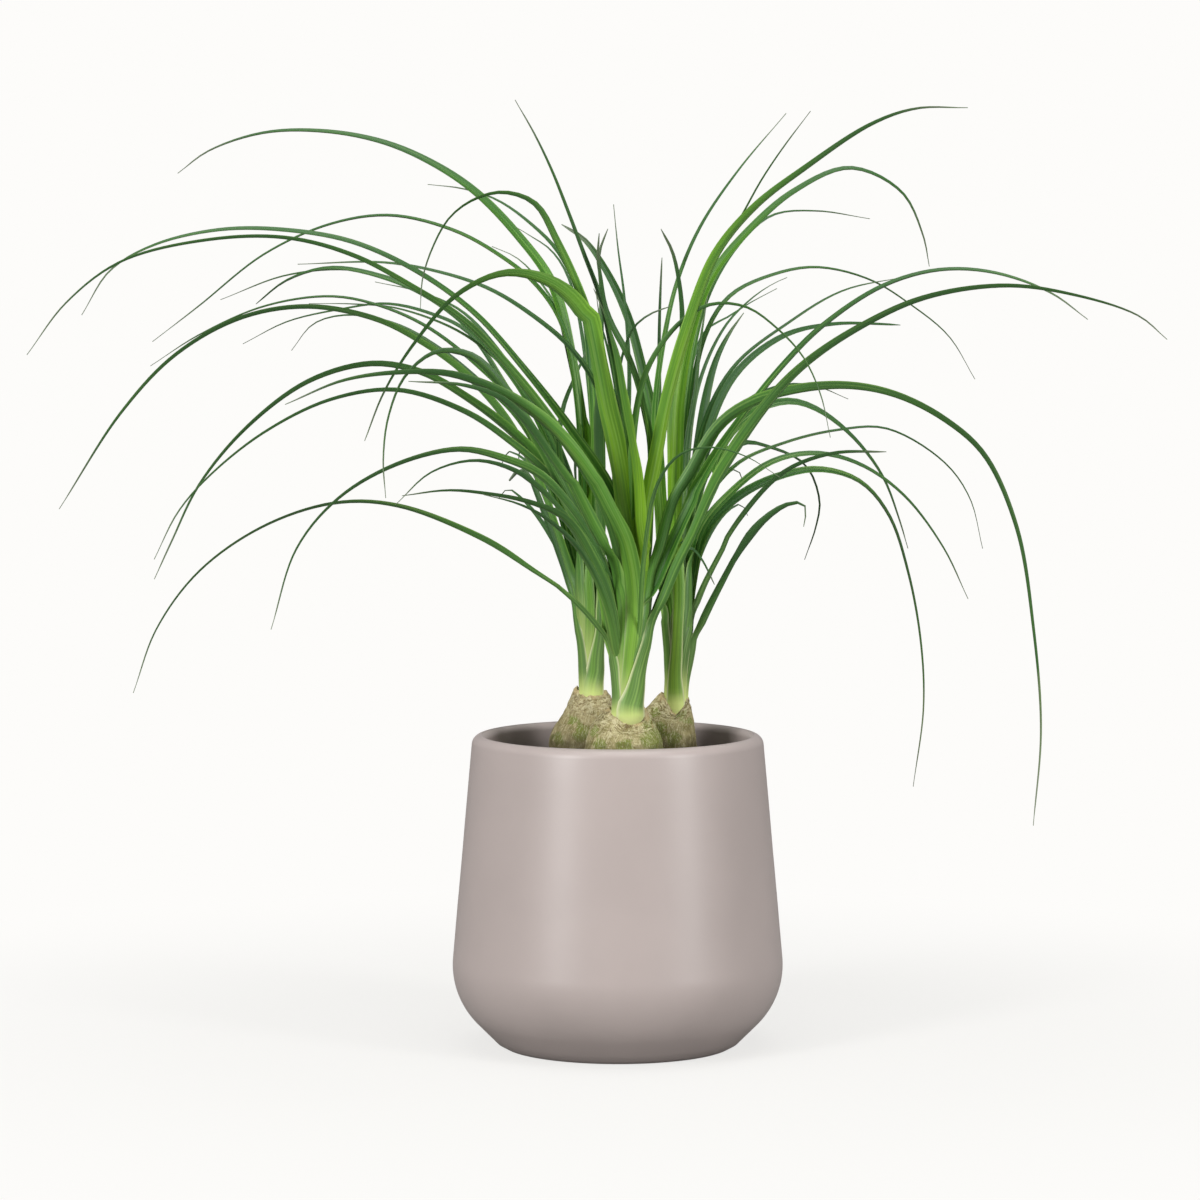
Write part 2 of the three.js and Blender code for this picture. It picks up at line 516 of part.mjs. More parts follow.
// A leaf's middle line through space, with the share of its length run at each of its points.
function leafCurve(points, footDepth, tipDepth) {
  const seen = [];
  for (let i = 0; i < points.length; i += 2) seen.push([points[i], points[i + 1]]);
  const run = [0];
  for (let i = 1; i < seen.length; i++) {
    run.push(run[i - 1] + Math.hypot(seen[i][0] - seen[i - 1][0], seen[i][1] - seen[i - 1][1]));
  }
  const share = run.map((r) => r / run.at(-1));
  const placed = seen.map(([across, up], i) => {
    const depth = footDepth + (tipDepth - footDepth) * Math.pow(share[i], DEPTH_BEND);
    return slide(across, up, depth);
  });
  return { curve: new THREE.CatmullRomCurve3(placed, false, 'centripetal'), share, placed };
}

function bladeWidth(share, greatest, power) {
  const foot = 0.9 + 0.1 * ease(share / 0.15);
  const taper = Math.pow(Math.max(0, 1 - share), power);
  return Math.max(BLADE_LEAST_WIDTH, greatest * foot * taper);
}

// A blade is a strap with a channel along its upper face: at each step its section has a left edge, a
// groove, a right edge and a keel.
function makeLeaf(row, bulb) {
  const [greatest, tipDepth, footFace, tipFace, points, power = TAPER] = row;
  const lean = Math.max(-1, Math.min(1, (tipDepth - bulb.depth) / 60));
  const { curve, share, placed } = leafCurve(points, bulb.depth + 4 * lean, tipDepth);
  const plan = placed.at(-1).clone().sub(placed[0]).setZ(0).normalize();
  const level = new THREE.Vector3().crossVectors(plan, new THREE.Vector3(0, 0, 1));
  // The channel's open side lies against the stem, in front of it for a leaf that grows from the near side.
  const turnedWay = (plan.x < 0) === (tipDepth < bulb.nearSide) ? 1 : -1;
  const spans = share.length - 1;
  const steps = Math.round(spans * STEPS_A_SPAN) + 1;
  const geometry = new ParametricGeometry((u, v, target) => {
    const t = Math.min(1, Math.max(0, v));
    const span = Math.min(spans - 1, Math.floor(t * spans));
    const s = share[span] + (share[span + 1] - share[span]) * (t * spans - span);
    const along = curve.getTangent(t);
    const flat = level.clone().addScaledVector(along, -level.dot(along)).normalize();
    const face = footFace + (tipFace - footFace) * ease(s / TURN_RUN);
    const turn = turnedWay * THREE.MathUtils.degToRad(face);
    const wide = flat.clone().applyAxisAngle(along, turn);
    const rise = new THREE.Vector3().crossVectors(wide, along);
    target.copy(curve.getPoint(t));
    if (t < 1e-4 || t > 1 - 1e-4) return;
    const width = bladeWidth(s, greatest, power);
    const thick = BLADE_THICK_AT_FOOT + (BLADE_THICK_AT_TIP - BLADE_THICK_AT_FOOT) * s;
    const edge = width * CHANNEL_DEPTH;
    const corner = Math.round(u * 4) % 4;
    if (corner === 0) target.addScaledVector(wide, -width / 2).addScaledVector(rise, edge);
    if (corner === 1) target.addScaledVector(rise, thick / 2);
    if (corner === 2) target.addScaledVector(wide, width / 2).addScaledVector(rise, edge);
    if (corner === 3) target.addScaledVector(rise, -thick / 2);
  }, 4, steps);
  return solid(splitAlike(geometry, 4));
}

// Splits the quads under the blade along the same diagonals as the ones above them.
function splitAlike(geometry, slices) {
  const index = geometry.index.array;
  for (let i = 0, quad = 0; i < index.length; i += 6, quad++) {
    if (quad % slices < slices / 2) continue;
    const [a, b, d, c] = [index[i], index[i + 1], index[i + 2], index[i + 4]];
    index.set([a, b, c, a, c, d], i);
  }
  return geometry;
}

// A stem with all of its leaves, joined in one body.
function makeTuft(side) {
  const bulb = BULBS[side];
  let body = makeStem(STEMS[side], bulb);
  for (const row of LEAVES[side]) {
    body = body.add(makeLeaf(row, bulb));
  }
  return largest(body);
}

// Keeps the outer skin, so that a pocket closed off between crossing blades is filled.
function largest(body) {
  return body.decompose().reduce((a, b) => (b.volume() > a.volume() ? b : a));
}

function named(name, geometry, color, roughness) {
  const mesh = new THREE.Mesh(geometry, new THREE.MeshStandardMaterial({ color, roughness, metalness: 0 }));
  mesh.name = name;
  return mesh;
}

const palm = new THREE.Group();
palm.add(named('pot', makePot(), '#beb1ab', 0.55));
palm.add(named('soil', geometryOf(makeSoil()), '#2e2118', 0.95));
palm.add(named('bulb_front', geometryOf(makeBulb(BULBS.front)), '#a39a78', 0.85));
palm.add(named('bulb_left', geometryOf(makeBulb(BULBS.left)), '#8f8363', 0.85));
palm.add(named('bulb_right', geometryOf(makeBulb(BULBS.right)), '#8c8a66', 0.85));
palm.add(named('leaves_front', geometryOf(makeTuft('front')), '#5f8f33', 0.45));
palm.add(named('leaves_left', geometryOf(makeTuft('left')), '#4a7337', 0.45));
palm.add(named('leaves_right', geometryOf(makeTuft('right')), '#3f6a38', 0.45));

export default palm;
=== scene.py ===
import math
import random

import bpy
import numpy as np
from bpy.props import FloatProperty, FloatVectorProperty, PointerProperty
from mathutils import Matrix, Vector, noise


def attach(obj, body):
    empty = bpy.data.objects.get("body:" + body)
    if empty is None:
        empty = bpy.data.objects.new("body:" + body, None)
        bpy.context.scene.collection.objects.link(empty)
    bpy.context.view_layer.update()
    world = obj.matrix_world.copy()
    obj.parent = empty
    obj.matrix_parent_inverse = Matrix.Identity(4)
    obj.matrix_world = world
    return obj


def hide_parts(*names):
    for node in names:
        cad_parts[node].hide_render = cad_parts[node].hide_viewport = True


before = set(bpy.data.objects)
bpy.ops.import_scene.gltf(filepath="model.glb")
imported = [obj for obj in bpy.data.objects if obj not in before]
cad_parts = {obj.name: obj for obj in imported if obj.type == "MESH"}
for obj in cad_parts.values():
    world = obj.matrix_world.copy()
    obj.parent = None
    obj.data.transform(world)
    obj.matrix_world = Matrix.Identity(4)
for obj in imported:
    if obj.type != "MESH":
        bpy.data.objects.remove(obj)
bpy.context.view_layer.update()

# A young ponytail palm in a round stoneware pot. Sizes are in millimetres unless a comment says otherwise.
# The plant is looked at from -Y, +Z is up, and the origin is the middle of the pot's underside.
bl_info = {
    "name": "Potted Ponytail Palm",
    "version": (1, 0, 0),
    "blender": (4, 5, 0),
    "location": "View3D > Sidebar > Palm",
    "description": "Builds a potted ponytail palm around its packed frame",
    "category": "Add Mesh",
}

MM = 0.001
SLACK = 0.01  # how far apart two rings still count as one


def linear(hex_colour):
    """An sRGB hex colour as linear red, green and blue."""
    parts = [int(hex_colour[i:i + 2], 16) / 255 for i in (1, 3, 5)]
    return tuple(c / 12.92 if c <= 0.04045 else ((c + 0.055) / 1.055) ** 2.4 for c in parts)


def tint(name, description, hex_colour):
    """The property of a colour that a user may change."""
    return FloatVectorProperty(name=name, description=description, subtype="COLOR", size=3, min=0, max=1,
                               default=linear(hex_colour))


def small_length(name, description, default, most):
    """The property of a length that a user may change, given in millimetres."""
    return FloatProperty(name=name, description=description, unit="LENGTH", precision=5, min=0,
                         default=default * MM, max=most * MM)


def ease(value, start=0.0, end=1.0):
    """0 at start, 1 at end, smooth between them and level past them. It falls where start is above end."""
    t = np.clip((value - start) / (end - start), 0.0, 1.0)
    return t * t * (3 - 2 * t)


# Places drawn as seen are slid along the line of sight to their depth, which grows away from the viewer.
EYE_DISTANCE = 2090
EYE_HEIGHT = 371
EYE_ACROSS = -8.1


def growth(depth):
    return (EYE_DISTANCE + depth) / EYE_DISTANCE


def slide(across, up, depth):
    """The point at a depth that lies behind a place on the upright plane through the pot's axis."""
    k = growth(depth)
    return np.array([EYE_ACROSS + (across - EYE_ACROSS) * k, depth, EYE_HEIGHT + (up - EYE_HEIGHT) * k])


# Pot. The inner wall runs from its floor up, as radius past the mouth's and height. The foot's underside has
# rings at shares of its radius, and its worn edge is radius past the foot's and height.
POT_HEIGHT = 143
POT_FLOOR = 8
FOOT_RADIUS = 51
FOOT_EDGE = 2
FOOT_RINGS = (0, 0.5, 0.96, 1)
FOOT_WORN = ((1.4, 0.25), (2.3, 0.75))
CHAMFER_OFFSET = 53.6
CHAMFER_ANGLE = math.pi / 4
SIDE_RADIUS_AT_BASE = 79.2
SIDE_TAPER = 0.0925
BELLY_FILLET = 37
MOUTH_RADIUS = 60
LIP_ROUND = 4.5
LIP_SET_IN = 0.95 * LIP_ROUND
INNER_LIP_ROUND = 3
INNER_WALL = [(-18, POT_FLOOR), (-12, POT_FLOOR + 3), (-1, 24), (5, 38), (5.5, 60), (3, 110), (0.9, 131),
              (0, 139.4)]
POT_SIDES = 224
BELLY_STEPS, LIP_STEPS, INNER_LIP_STEPS = 22, 10, 8
CHAMFER_STEPS, SIDE_STEPS = 3, 8
WIPE_SPAN = 26  # of the waves that the sponge leaves
TRUE_RADIUS, TRUE_HEIGHT = 30, 3  # the middle of the floor and the underside stay as turned

# Soil. A bump is its span, its place in the noise and its share of the relief.
CLEARANCE = 0.3
CLEARED_HEIGHT = 30  # under this the soil is held clear of the floor as well as of the wall
SOIL_AT_WALL = 127.5
SOIL_MOUND = 9
SOIL_MOUND_RADIUS = 58
SOIL_MOUND_DEPTH = 2
SOIL_SINK = 0.3
SOIL_BUMPS = ((2.4, 0, 0.6), (6, 4, 0.36))
SOIL_SIDES = 180
SOIL_RINGS = 70
CRUMBS, CRUMB_SEED = 1500, 7
CRUMB_REACH = 0.985  # of the way to the wall
CRUMB_STRETCH = (0.6, 1.3)
CRUMB_CORNER = (0.6, 0.6, 0.5)  # the least share of its half sides at which a corner lies
FINE_SHARE = 0.85
FINE_CRUMB = (0.35, 0.9)
COARSE_CRUMB = (0.9, 1.9)

# Bulbs, all as seen. axis is its middle and its neck across, bend the heights between which the one drifts
# to the other, neck the radius of the hole for the stem and seat the height where the stem stands, tilt the
# slope of the rim from front to back, lobes how far the flanks bulge, darkening the height where the bark's
# darker colour towards the soil ends and the run over which it fades, seed its place in the noise, mossy how
# green it is all over, green its green patches: across, up and radius, rim the change of the rim's height by
# the bearing from the viewer in degrees, and outline its radius and height pairs.
BULBS = {
    "front": {
        "depth": -17, "axis": (2.8, 4.3), "bend": (148, 156), "neck": 7.9, "seat": 149.5, "tilt": 0.1,
        "lobes": 0.02, "darkening": (132, 13), "seed": 0, "mossy": 0.5,
        "green": [(-8.3, 138.5, 3.2), (-10.5, 144.5, 2), (16.4, 141, 6), (13.9, 147.5, 3.4), (3, 137, 4)],
        "rim": [(-100, 0.4), (-68, -0.3), (-27, -2.6), (-10, -5.4), (12, -6), (45, -5.4), (72, -4.2),
                (90, -1.4), (120, 0)],
        "outline": [
            (5, 103), (9.5, 107.5), (13.5, 115), (16.6, 124), (17.9, 131), (17.7, 138.5), (16.7, 142.5),
            (14.5, 147.9), (11.3, 152), (9.1, 154.3), (8.15, 155.1),
        ],
    },
    "left": {
        "depth": 16, "axis": (-14.4, -12), "bend": (134, 158), "neck": 6.3, "seat": 158.5, "tilt": 0.05,
        "lobes": 0.035, "darkening": (135, 14), "seed": 40, "mossy": 0.15,
        "green": [(-16.7, 143.5, 4.4), (-20.3, 149, 2.4), (-27, 141, 3)],
        "rim": [(-140, 0.6), (-95, 2), (-60, 0.8), (-30, 0), (50, 0), (80, 0.9), (120, 0)],
        "outline": [
            (5, 108), (9, 112), (12.8, 119), (15.6, 128), (16.5, 136), (16.2, 144), (13.8, 149.5),
            (11.3, 154.8), (8.7, 159.8), (7.2, 162), (6.5, 162.7),
        ],
    },
    "right": {
        "depth": 16, "axis": (22.3, 26.2), "bend": (148, 162), "neck": 5.75, "seat": 156.5, "tilt": 0.05,
        "lobes": 0.04, "darkening": (133, 14), "seed": 80, "mossy": 0.6,
        "green": [(28.9, 152, 2), (17.2, 153.3, 2.6), (19.4, 145.5, 3.6), (25.5, 140.5, 4), (32.5, 149.6, 2)],
        "rim": [(-150, 0), (-90, 1.6), (-60, 0.4), (-28, -2.6), (-5, -5.8), (12, -6.4), (30, -3.8), (60, 0),
                (100, -0.6), (130, 0)],
        "outline": [
            (4.5, 110), (8, 114), (11, 121), (12.9, 129), (13.7, 137), (13.6, 142), (12.5, 149.5),
            (10.2, 154.6), (7.8, 158), (6.5, 160), (5.95, 161),
        ],
    },
}

# Bark. Its relief is a coarse, a middle and a fine noise, each a span and a share, and the thin scales that
# run round below the rim: how close they lie, how far the coarse noise bends them, their slope in each
# degree round the bulb, and their share. The rim changes the height of the bark over the run below it.
BARK_SIDES, BARK_STEPS = 150, 10
UNDER_SINK, RIM_EDGE, SEAT_BELOW_RIM = 1.5, 0.3, 9
NECK_FROM = 140
LOBES_FADE = (150, 138)
TILT_GROWS = (140, 150)
BARK_NOISE = ((6, 1.3), (2.6, 0.8), (1.1, 0.5))
PLAIN_RADIUS, PLAIN_HEIGHT = 3, 105  # there is no relief nearer the middle or lower down
SCALE_RUN, SCALE_FADES = 9, (1.3, 0.3)
SCALE_RIPPLES, SCALE_WARP, SCALE_SLOPE, SCALE_LIFT = 13, 7, 0.03, 0.5
RIM_RUN = 13
RAGGED_RUN, RAGGED_LIFT, RAGGED_COUNT = 1.5, 0.8, 3.5
PAPER_RUN, PAPER_WANDER = 2.4, 3
DARKENING_WANDER = 4
GREEN_FADES, GREEN_WANDER = (1.35, 0.55), (2.4, 0.9)
BACK_GREEN, BACK_EDGE, BACK_FROM = 0.35, 3, 4  # patches on the side that is turned away

# Stems: middle, half width and height of the column of clasping leaf bases, as seen.
STEMS = {
    "front": [(4.3, 8.1, 150.2), (4.8, 7.6, 160), (4.7, 8.2, 173), (5.4, 9.6, 187), (6, 9.2, 203),
              (7, 4, 219)],
    "left": [(-12, 6.2, 159.2), (-12.2, 5.7, 170), (-12.1, 6.4, 182), (-12.6, 7.6, 197), (-13, 7, 211),
             (-13, 3, 226)],
    "right": [(26.2, 5.7, 157.2), (26.9, 5.8, 168), (27.6, 7, 181), (27, 7.6, 195), (28.4, 6, 210),
              (29, 3, 226)],
}

# Leaves. A row is how fresh its green is, from 0 for the old blue-green to 1 and more for the lime of the
# heart, its greatest width, the depth of its tip, the turn of its face out of the level at its foot and at
# its tip in degrees, and the points that it passes, across and up as seen. A last BLUNT marks a leaf that
# was broken short and a last BROAD one that stays broad almost to its tip: each is the power of its taper.
BLUNT = 0.28
BROAD = 0.45
LEAVES = {
    "front": [
        # low on the left
        [0.15, 7, -110, 32, 15, [-0.8, 160, -1.6, 172, -6, 187, -20, 204.5, -40, 218.5, -62, 232, -100, 247,
         -128, 248.5, -160, 238.5, -190, 218, -210, 191.5, -221, 162]],
        [0.1, 7, -125, 62, 38, [0.4, 186, -1, 202, -7.5, 225, -16.5, 240.4, -34.8, 260.7, -52, 268.4, -72,
         272.5, -100, 266, -127, 250.5, -146, 228, -158, 191]],
        [0.2, 5.5, -115, 57, 34, [0, 178, -3.4, 204.5, -9.6, 224, -23, 242, -33.8, 253.6, -47, 263.3, -65,
         267.8, -85, 262.5, -101, 248]],
        [0.15, 7, -150, 57, 24, [1, 174, -4, 203, -13, 225, -23.7, 240.9, -39.9, 248.5, -62, 253, -78,
         254.3, -98, 252]],
        [0.1, 4.5, -125, 62, 28, [1, 174, -5, 203, -18, 228, -34, 242.5, -46, 248.5, -61, 252.5]],
        [0.3, 7.5, -95, 67, 45, [-2, 174, -6, 210, -20, 245, -38, 280, -55, 305, -67, 315.5, -82, 317, -96,
         306.5, -104, 288, -106.5, 268, -105.5, 251]],
        # middle left
        [0.2, 9.5, -75, 77, 23, [0, 172, -3, 200, -12, 228, -28, 257, -45, 277, -70, 296.5, -90, 307.5,
         -112, 311.2, -140, 303.5, -168, 283, -190, 257, -203, 231, -211, 214]],
        [0.15, 6, -100, 67, 30, [0, 174, -4, 205, -15, 235, -32, 261, -50, 277, -70, 290, -100, 299.6, -130,
         295.5, -160, 281, -185, 261.5, -200, 244.5, -211, 223]],
        [0.5, 10.5, -115, 75, 38, [5.5, 165, 7.5, 205, 3.4, 232, -5.6, 250.5, -17, 268.5, -30, 283, -50,
         297, -75, 306.5, -100, 307.5, -125, 304, -151, 293.5]],
        [0.25, 7.5, -40, 82, 32, [3, 172, 5, 215, -3, 252, -21.5, 281, -43, 309, -65, 334, -90, 352.5, -120,
         366.5, -150, 372, -180, 372.3, -210, 365.5, -230, 354, -243, 334]],
        [0.3, 7.2, -85, 82, 23, [2, 172, 3, 215, -7, 250, -27.5, 281, -46.5, 306, -70, 331, -92, 345.5,
         -120, 360.5, -150, 368.5, -185, 367.8, -225, 358, -250, 339.5, -268, 316]],
        [0.2, 6, -20, 67, 35, [4, 172, 3, 230, -2, 275, -10, 301, -22, 319, -40, 334.3, -60, 346.3, -86,
         354.5, -108, 357.8, -145, 357]],
        # the broad one that folds over into an arch
        [0.76, 14, -80, 85, 28, [8, 170, 8.5, 225, 2.2, 262, -5, 298, -13, 328, -28, 346, -50, 352, -72,
         343, -92, 321, -106, 299, -115, 277]],
        # heart, upright
        [0.6, 9, -40, 85, 80, [8, 175, 13, 240, 13.8, 275, 11.4, 289, 7.8, 304, 2.7, 317.6, -2.8, 328, -6.5,
         338, -8.5, 352, -9.5, 360, -8.5, 371], BROAD],
        [0.35, 7.5, -45, 85, 60, [7, 172, 6, 235, 3, 280, -2, 310, -8, 340, -16, 362, -23, 381, -30, 399,
         -38, 416, -46.5, 431]],
        [0.7, 9, -70, 85, 23, [4, 172, 4, 230, -1, 275, -8, 312, -17, 342, -28, 367, -38, 384, -52, 389,
         -65, 386, -76, 378, -84, 364, -88.5, 350, -89.5, 337]],
        [1.2, 9, -60, 82, 60, [8, 172, 9.5, 225, 8.6, 250, 5.4, 277, 2.8, 288, 0.8, 300, -0.8, 311, -3, 322,
         -6, 334, -11, 346]],
        [0.82, 11, -90, 85, 23, [11, 170, 11, 225, 13.5, 250, 18.5, 275, 24, 300, 33, 330, 45, 361, 62, 382,
         85, 400, 115, 420, 135, 427, 158, 427.5]],
        [0.8, 6, -50, 82, 23, [8, 172, 12, 230, 17, 275, 27, 312, 37, 341, 45, 361, 55, 377, 65, 395, 75,
         410, 87, 426]],
        [0.4, 5, -70, 67, 28, [8, 176, 6, 235, 8, 285, 14, 310, 28, 330, 42, 338.5, 58, 337.5, 72, 328, 84,
         315, 92, 298, 96.5, 278.5]],
        [0.4, 5, -20, 67, 28, [6, 176, 0, 235, -1, 290, 3, 318, 8, 329, 15, 334.5, 24, 338], BROAD],
        # right
        [0.15, 2.8, -110, 75, 28, [9, 176, 12, 225, 18, 257, 28, 270.5, 42, 274, 58, 270, 73.5, 260.5]],
        [0.1, 3.4, -15, 40, 28, [11, 182, 20, 208, 28, 225, 33, 228, 38, 223, 44, 211.5], BROAD],
        [0.2, 9.8, -80, 82, 23, [10, 178, 14, 209, 20.5, 235, 33.8, 263.5, 47, 284, 62, 294, 82, 299.5, 105,
         301, 126, 297, 148, 286, 166, 270, 181, 237, 189, 192, 193, 145, 190, 101]],
        [0.2, 8.8, -45, 82, 28, [11, 172, 15.5, 205, 26, 231, 40.5, 262, 59, 290, 77, 312.5, 94, 329.3, 120,
         346.6, 145, 354, 170, 353, 196, 344, 213, 332]],
        [0.2, 10.5, -110, 77, 23, [7.5, 162, 12.6, 183, 22, 208, 32, 230, 47, 262, 70, 295, 85, 310.6, 108,
         326.6, 138.5, 341, 175, 346.8, 206, 343, 236, 333.6, 249, 323]],
        # clasping the front of the stem on the left, and the dark edge beside the broad one
        [0.4, 9.5, -95, 67, 34, [0.5, 165, 1.5, 200, -6.7, 230, -17, 250, -30.7, 270, -41.8, 285.4, -53,
         296, -70, 302, -95, 304]],
        [0.15, 4.5, -15, 85, 60, [8, 176, 7.8, 240, 3, 277, 0.4, 288, -1, 300, -3, 311, -5.5, 322, -8, 331,
         -10, 345]],
    ],
    "left": [
        [0.5, 11, 40, 72, 28, [-12, 176, -14, 235, -16, 280, -22, 315, -31, 348, -46, 369.3, -65, 389, -84,
         401.8, -106, 411.4, -132.6, 416.5, -160, 416, -185, 408, -199, 398]],
        [0.35, 6, 75, 72, 23, [-11, 176, -10, 240, -12, 300, -17, 340, -27, 362, -40, 375.5, -55, 386, -70,
         391, -86, 393]],
        [0.3, 5.5, 30, 67, 23, [-13, 176, -16, 240, -19, 295, -26, 330, -38, 348, -55, 361.5, -75, 372.2,
         -103, 378.8, -130, 375, -160, 361.5, -190, 338, -211, 322]],
        [0.2, 9, 22, 57, 23, [-15, 178, -22, 215, -32, 248, -50, 284, -70, 307, -90, 321.5, -110, 331.5,
         -140, 337.2, -170, 332.5, -200, 316, -225, 290, -254, 246]],
        [0.25, 5, 65, 62, 23, [-14, 178, -20, 220, -30, 255, -46, 292, -62, 309, -86, 328, -108, 338, -130,
         342.3, -160, 338, -190, 325, -212, 311]],
        [0.3, 4, 100, 62, 23, [-13, 178, -18, 230, -30, 275, -45, 302, -60, 318, -75, 328, -100, 337, -120,
         339, -140, 339.2]],
        [0.2, 5.5, 115, 67, 30, [-13, 178, -16, 225, -27, 265, -42, 297, -58, 318, -78, 336.5, -100, 348.5,
         -130, 355, -150, 349.5, -164, 339], BLUNT],
        [0.2, 5.5, 135, 62, 23, [-12, 178, -15, 230, -28, 275, -45, 305, -66, 328, -90, 345, -118, 354,
         -150, 352, -180, 341]],
        [0.15, 5, 150, 62, 28, [-14, 178, -18, 225, -33, 268, -52, 303, -68, 326, -85, 334.5, -105, 339,
         -126, 336.5, -150, 331, -170, 321]],
        [0.2, 5, 85, 57, 28, [-14, 180, -19, 220, -30, 257, -45, 286, -62, 303, -80, 318, -100, 329.5, -122,
         334, -138, 330, -148, 318]],
        [0.2, 5, 165, 62, 28, [-12, 180, -15, 235, -30, 280, -50, 312, -70, 335, -90, 344.5, -110, 349]],
        [0.5, 4, 125, 62, 28, [-11, 180, -10, 250, -14, 310, -22, 350, -30, 363, -40, 370, -50, 376]],
        [0.45, 4, 95, 72, 28, [-12, 180, -14, 240, -18, 290, -26, 333, -36, 350, -46, 360, -57, 365]],
        [0.2, 9, 24, 82, 80, [-9, 180, -6, 240, -6, 285, -6.5, 310, -7, 345, -8, 362, -4.5, 373], BROAD],
        [0.2, 4, 28, 82, 48, [-8, 180, 0, 245, 5, 300, 3, 340, 0, 364, -2, 384]],
        [0.5, 6, 60, 62, 28, [-13, 182, -22, 240, -27, 275, -25, 292, -20, 305, -15, 316, -10, 326]],
        # leaning away on the far side
        [0.35, 6, 205, 82, 18, [-12, 178, -14, 220, -24, 252, -38, 272, -44, 274, -45, 265]],
        [0.35, 6, 185, 72, 18, [-12, 178, -16, 215, -27, 248, -42, 268, -50, 272, -53, 265]],
        [0.35, 5.5, 215, 85, 18, [-11, 178, -10, 225, -13, 255, -17, 272, -19, 268, -18, 245]],
        [0.3, 5.5, 190, 62, 18, [-13, 178, -20, 212, -32, 236, -43, 250, -50, 255, -54, 251]],
        # short, outermost on the left, its tip bent over
        [0.15, 6, 26, 65, 55, [-16, 165, -16.7, 182, -21, 203.5, -29, 230, -36, 250, -41.5, 261, -44.5,
         263.8, -47, 261.5, -49.3, 258.8]],
    ],
    "right": [
        [0.5, 8, 95, 82, 60, [25, 178, 21, 235, 18, 280, 12, 308, 5, 333, -5, 354, -15, 368, -25.5,
         375], BROAD],
        [0.62, 7.5, 110, 85, 75, [25, 178, 22, 240, 19.5, 300, 19.3, 330, 20, 360], BROAD],
        [0.5, 9.5, 45, 85, 80, [26, 178, 26, 240, 27, 290, 30, 325, 29, 345, 25, 363, 19.5, 373], BROAD],
        [0.45, 4.5, 70, 82, 28, [24, 178, 19, 240, 17, 290, 22, 328, 28, 352, 38, 375, 55, 400, 76, 425]],
        [0.65, 10.5, 30, 85, 28, [27, 176, 26, 235, 28, 290, 34, 325, 44, 352, 60, 372, 80, 389.5, 105, 400,
         128, 389.5, 138, 370, 141, 356]],
        [0.4, 5.5, 85, 72, 23, [27, 178, 28, 240, 31, 295, 40, 340, 55, 366, 70, 379, 90, 381, 114, 377.5]],
        [0.2, 4.5, 110, 67, 23, [28, 178, 29, 235, 32, 285, 40, 325, 51, 342.5, 70, 352, 90, 355.5, 114,
         350, 133, 338.5, 150, 324.5, 162, 305]],
        [0.3, 4, 140, 67, 28, [27, 180, 27, 240, 30, 295, 39.5, 326.4, 50, 333.2, 60, 339.6, 72, 346]],
        [0.3, 4, 155, 67, 28, [28, 180, 30, 245, 36, 300, 48, 328, 60, 341, 70, 348, 76.6, 351]],
        [0, 11, 150, 82, 38, [29, 178, 32, 230, 36, 272, 40, 298, 44.5, 314, 50, 325, 57, 335]],
        [0.2, 4.5, 90, 67, 23, [29, 178, 32, 230, 38, 280, 52.5, 310, 78, 330.8, 102, 345, 131, 351.5]],
        [0.1, 5.2, 150, 40, 28, [30, 178, 33, 225, 38, 270, 52, 305, 74, 323.6, 97, 329.5, 128,
         329.5], BLUNT],
        [0.15, 5.5, 50, 82, 48, [28, 180, 29, 240, 31, 275, 35, 300, 37, 320, 41, 345]],
        [0.25, 7.8, 55, 62, 45, [30, 178, 33, 215, 40.5, 250, 50, 278, 64, 291, 78, 294.5, 90, 291, 106,
         279, 120, 261, 128, 241, 132, 228]],
        [0.15, 3.5, 80, 57, 23, [30, 178, 33, 215, 38, 245, 54, 266, 76, 276, 100, 281.8, 122, 282.5, 148,
         267.5, 160, 251, 166, 228]],
        [0.2, 5.6, 40, 57, 36, [31, 178, 33, 210, 38, 236, 50, 251.5, 70, 267, 90, 271, 110, 266, 130, 252,
         148, 228.5, 159.5, 205]],
        [0.15, 6, 75, 50, 40, [32, 178, 33, 208, 40, 236, 53, 250, 72, 260, 92, 263.5, 110, 258, 123, 243,
         132, 217, 138, 185, 139.4, 155, 135, 119]],
        [0, 6.5, 22, 52, 32, [29.5, 176, 35.6, 200, 45.5, 224, 57, 242.5, 76, 262.5, 97, 270.8, 122,
         272], BROAD],
        [0.1, 10, -15, 67, 38, [31, 168, 36.6, 190, 51.5, 220, 66, 240, 78, 248, 84.5, 248, 85.3, 243, 84.5,
         238]],
        [0.2, 6, 105, 57, 40, [31, 178, 33, 225, 40, 262, 56, 275.5, 70, 273.5, 85, 266, 91.5, 250, 90, 238,
         85, 223]],
        [0.2, 5, 130, 62, 28, [29, 178, 32, 230, 42, 275, 60, 296, 77, 302.5, 90, 301.8, 104.5, 296]],
        # leaning away on the far side
        [0.35, 6, 210, 82, 18, [27, 178, 27, 220, 30, 250, 34, 268, 36, 266, 36, 246]],
        [0.3, 6, 190, 72, 18, [28, 178, 31, 215, 38, 244, 48, 261, 54, 264, 57, 258]],
        [0.35, 5.5, 200, 72, 18, [27, 178, 24, 225, 21, 252, 18, 270, 16, 270, 16, 250]],
        [0.3, 5.5, 185, 62, 18, [29, 178, 33, 212, 41, 233, 50, 245, 56, 248, 59, 243]],
    ],
}

